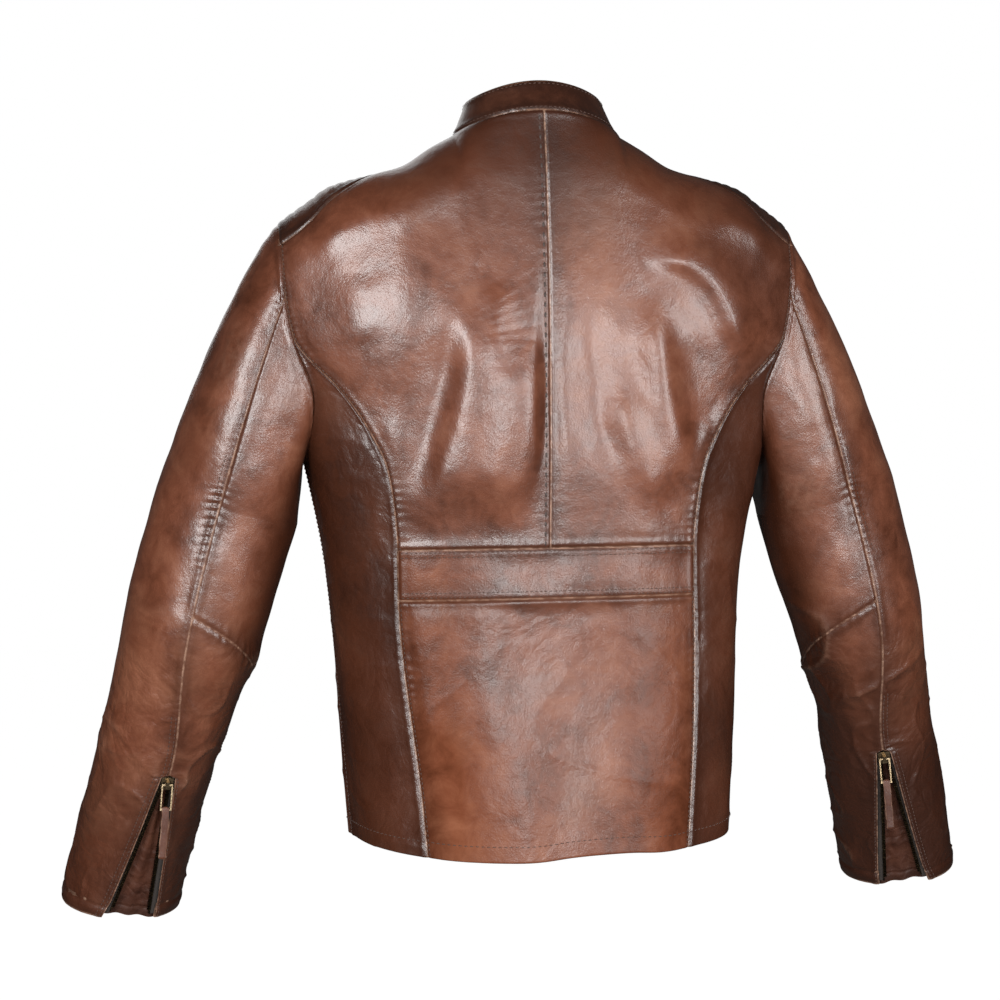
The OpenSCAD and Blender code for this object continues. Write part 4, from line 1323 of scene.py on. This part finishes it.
def leather_material(name, tones, rough, wear_and_highlight_gain=1.0, coat=0.5):
    """Waxed leather. tones are its dark, middle, light and rubbed colours, the rubbed one also the
    painted highlight on raised folds; coat is its wax.
    Where the per-point shade value is above 0 shade is painted in, and where it is below 0 the shine has
    gone."""
    m = Nodes(name)
    mottle, burn = m.noise(34.0, 6, 0.68, 0.6), m.value("burn")
    base = wear_and_highlight(m, mottled(m, tones, mottle, burn), tones, mottle, wear_and_highlight_gain)
    shine = m.plus(1.0, m.math("MINIMUM", burn, 0.0), True)
    uneven = m.times(m.math("SUBTRACT", mottle, 0.5), 0.35)
    normal = leather_surface(m)
    m.set(Base_Color=base, Normal=normal, Roughness=m.plus(rough, uneven, True),
          Specular_IOR_Level=m.times(shine, 0.34), Coat_Weight=m.times(shine, coat),
          Coat_Roughness=0.25, Coat_Normal=normal)
    return m.mat


def metal_material():
    m = Nodes("antique_brass_look")
    age = m.noise(900.0)
    stops = [(0.35, (0.12, 0.085, 0.05)), (0.6, (0.34, 0.26, 0.16)), (0.8, (0.55, 0.45, 0.3))]
    m.set(Base_Color=m.ramp(age, stops), Metallic=1.0, Roughness=m.plus(0.22, m.times(age, 0.3)),
          Normal=m.bump(age, 0.2, 0.0003))
    return m.mat


def teeth_material():
    m = Nodes("teeth_look")
    stops = [(0.4, (0.015, 0.012, 0.01)), (0.62, (0.09, 0.065, 0.035)), (0.75, (0.4, 0.3, 0.17))]
    m.set(Base_Color=m.ramp(m.noise(700.0, 3), stops), Metallic=1.0, Roughness=0.35)
    return m.mat


def fabric_material(name, colour, scale, rough=0.85):
    m = Nodes(name)
    weave = m.add("ShaderNodeTexChecker", Vector=m.coords, Scale=scale).outputs["Fac"]
    m.set(Base_Color=m.mixed(m.noise(60.0), grey(colour), shade(colour, 1.9)), Roughness=rough,
          Sheen_Weight=0.15, Normal=m.bump(weave, 0.25, 0.0003))
    return m.mat


LEATHER_TONES = ((0.05, 0.013, 0.005), (0.12, 0.037, 0.018), (0.192, 0.072, 0.038),
                 (0.38, 0.23, 0.16))
DARK_TONES = ((0.02, 0.006, 0.003), (0.048, 0.014, 0.006), (0.085, 0.028, 0.013),
              (0.24, 0.12, 0.07))
# Darker copy of the leather tones: painted shade for the recessed cuff gusset.
GUSSET_SHADE_TONES = ((0.02, 0.005, 0.002), (0.05, 0.014, 0.006), (0.09, 0.03, 0.014),
              (0.15, 0.07, 0.04))
MATERIALS = {
    "leather": leather_material("brown_leather_look", LEATHER_TONES, 0.40),
    "leather_dark": leather_material("dark_leather_look", DARK_TONES, 0.44, 0.9),
    "leather_painted_shade": leather_material("painted_shade_leather_look", GUSSET_SHADE_TONES, 0.62, 0.5, 0.0),
    "leather_tab": leather_material("tab_leather_look", LEATHER_TONES, 0.5, 1.0, 0.1),
    "brass": metal_material(),
    "teeth": teeth_material(),
    "cloth": fabric_material("lining_look", (0.02, 0.015, 0.013), 1200.0),
    "tape": fabric_material("tape_look", (0.012, 0.008, 0.006), 1500.0, 1.0),
    "thread": fabric_material("thread_look", (0.035, 0.014, 0.008), 2500.0, 0.7),
    "thread_dark": fabric_material("thread_dark_look", (0.02, 0.011, 0.008), 2500.0, 0.6),
}


def dress_cad():
    """Metal parts keep their CAD shape and get a metal look."""
    for name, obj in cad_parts.items():
        look = "teeth" if "teeth" in name else None
        if any(word in name for word in ("slider", "frame", "snap", "zip_box", "pocket_pull")):
            look = "brass"
        if look:
            for slot in obj.material_slots:
                slot.material = MATERIALS[look]
            if not obj.material_slots:
                obj.data.materials.append(MATERIALS[look])


# ---------- camera, floor and light ----------

AIM = Vector((45, 0, -340)) * MM
EYE = Vector((297, 1767, -340)) * MM
LENS, ROLL = 74, 1.0


def look_at(obj, target, roll=0.0):
    q = (target - obj.location).to_track_quat("-Z", "Y")
    obj.rotation_euler = (q.to_matrix() @ Matrix.Rotation(math.radians(roll), 3, "Z")).to_euler()


def area_light(name, place, target, size, power):
    data = bpy.data.lights.new(name, "AREA")
    data.shape, data.size, data.size_y, data.energy = "RECTANGLE", size[0], size[1], power
    obj = bpy.data.objects.new(name, data)
    obj.location = place
    bpy.context.collection.objects.link(obj)
    look_at(obj, Vector(target))


def camera():
    cam = bpy.data.objects.new("camera", bpy.data.cameras.new("camera"))
    cam.data.lens, cam.data.sensor_width, cam.data.clip_end = LENS, 36, 50
    cam.location = EYE
    look_at(cam, AIM, -ROLL)
    bpy.context.collection.objects.link(cam)
    bpy.context.scene.camera = cam


def white_world():
    """White where the camera sees it, and only a faint fill for everything else."""
    world = bpy.data.worlds.new("studio")
    bpy.context.scene.world = world
    world.use_nodes = True
    tree = world.node_tree
    seen = tree.nodes["Background"]
    seen.inputs["Color"].default_value = (1, 1, 1, 1)
    ambient = tree.nodes.new("ShaderNodeBackground")
    ambient.inputs["Strength"].default_value = 0.06
    path = tree.nodes.new("ShaderNodeLightPath")
    both = tree.nodes.new("ShaderNodeMixShader")
    tree.links.new(path.outputs["Is Camera Ray"], both.inputs[0])
    tree.links.new(ambient.outputs[0], both.inputs[1])
    tree.links.new(seen.outputs[0], both.inputs[2])
    tree.links.new(both.outputs[0], tree.nodes["World Output"].inputs[0])


def studio():
    camera()
    plain_floor()
    middle = (0.0, 0.0, -0.33)
    area_light("key_left", (1.15, 1.9, -0.05), middle, (0.7, 1.2), 57)
    area_light("key_right", (-1.2, 1.8, -0.3), middle, (0.55, 1.3), 34)
    area_light("front_strip", (-0.13, 2.3, -0.48), middle, (0.5, 0.85), 29)
    area_light("face_light", (0.3, -2.4, 0.9), middle, (1.6, 1.6), 12)
    white_world()
    bpy.context.scene.view_settings.view_transform = "Standard"


def plain_floor():
    mesh = bpy.data.meshes.new("floor")
    s, z = 12.0, -1.25
    mesh.from_pydata([(-s, -s, z), (s, -s, z), (s, s, z), (-s, s, z)], [], [(0, 1, 2, 3)])
    m = Nodes("floor_look")
    seen = m.add("ShaderNodeLightPath").outputs["Is Camera Ray"]
    m.set(Base_Color=(0.12, 0.11, 0.1, 1), Roughness=0.9, Emission_Color=(1, 1, 1, 1),
          Emission_Strength=m.times(seen, 0.99))
    mesh.materials.append(m.mat)
    obj = bpy.data.objects.new("floor", mesh)
    bpy.context.collection.objects.link(obj)
    return obj


dress_cad()
body_panels()
collar()
snap_tab()
for side, tag in SIDES:
    sleeve(side, tag)
    gusset(side, tag)
    leather_tab(f"cuff_tab_{tag}", f"cuff_pull_tab_{tag}", f"cuff_pull_{tag}")
leather_tab("main_tab", "main_pull_tab", "main_pull")
linings()
hem_inside()
wind_flap()
pocket_bags()
pocket_leathers()
zip_tapes()
build_stitches()
studio()
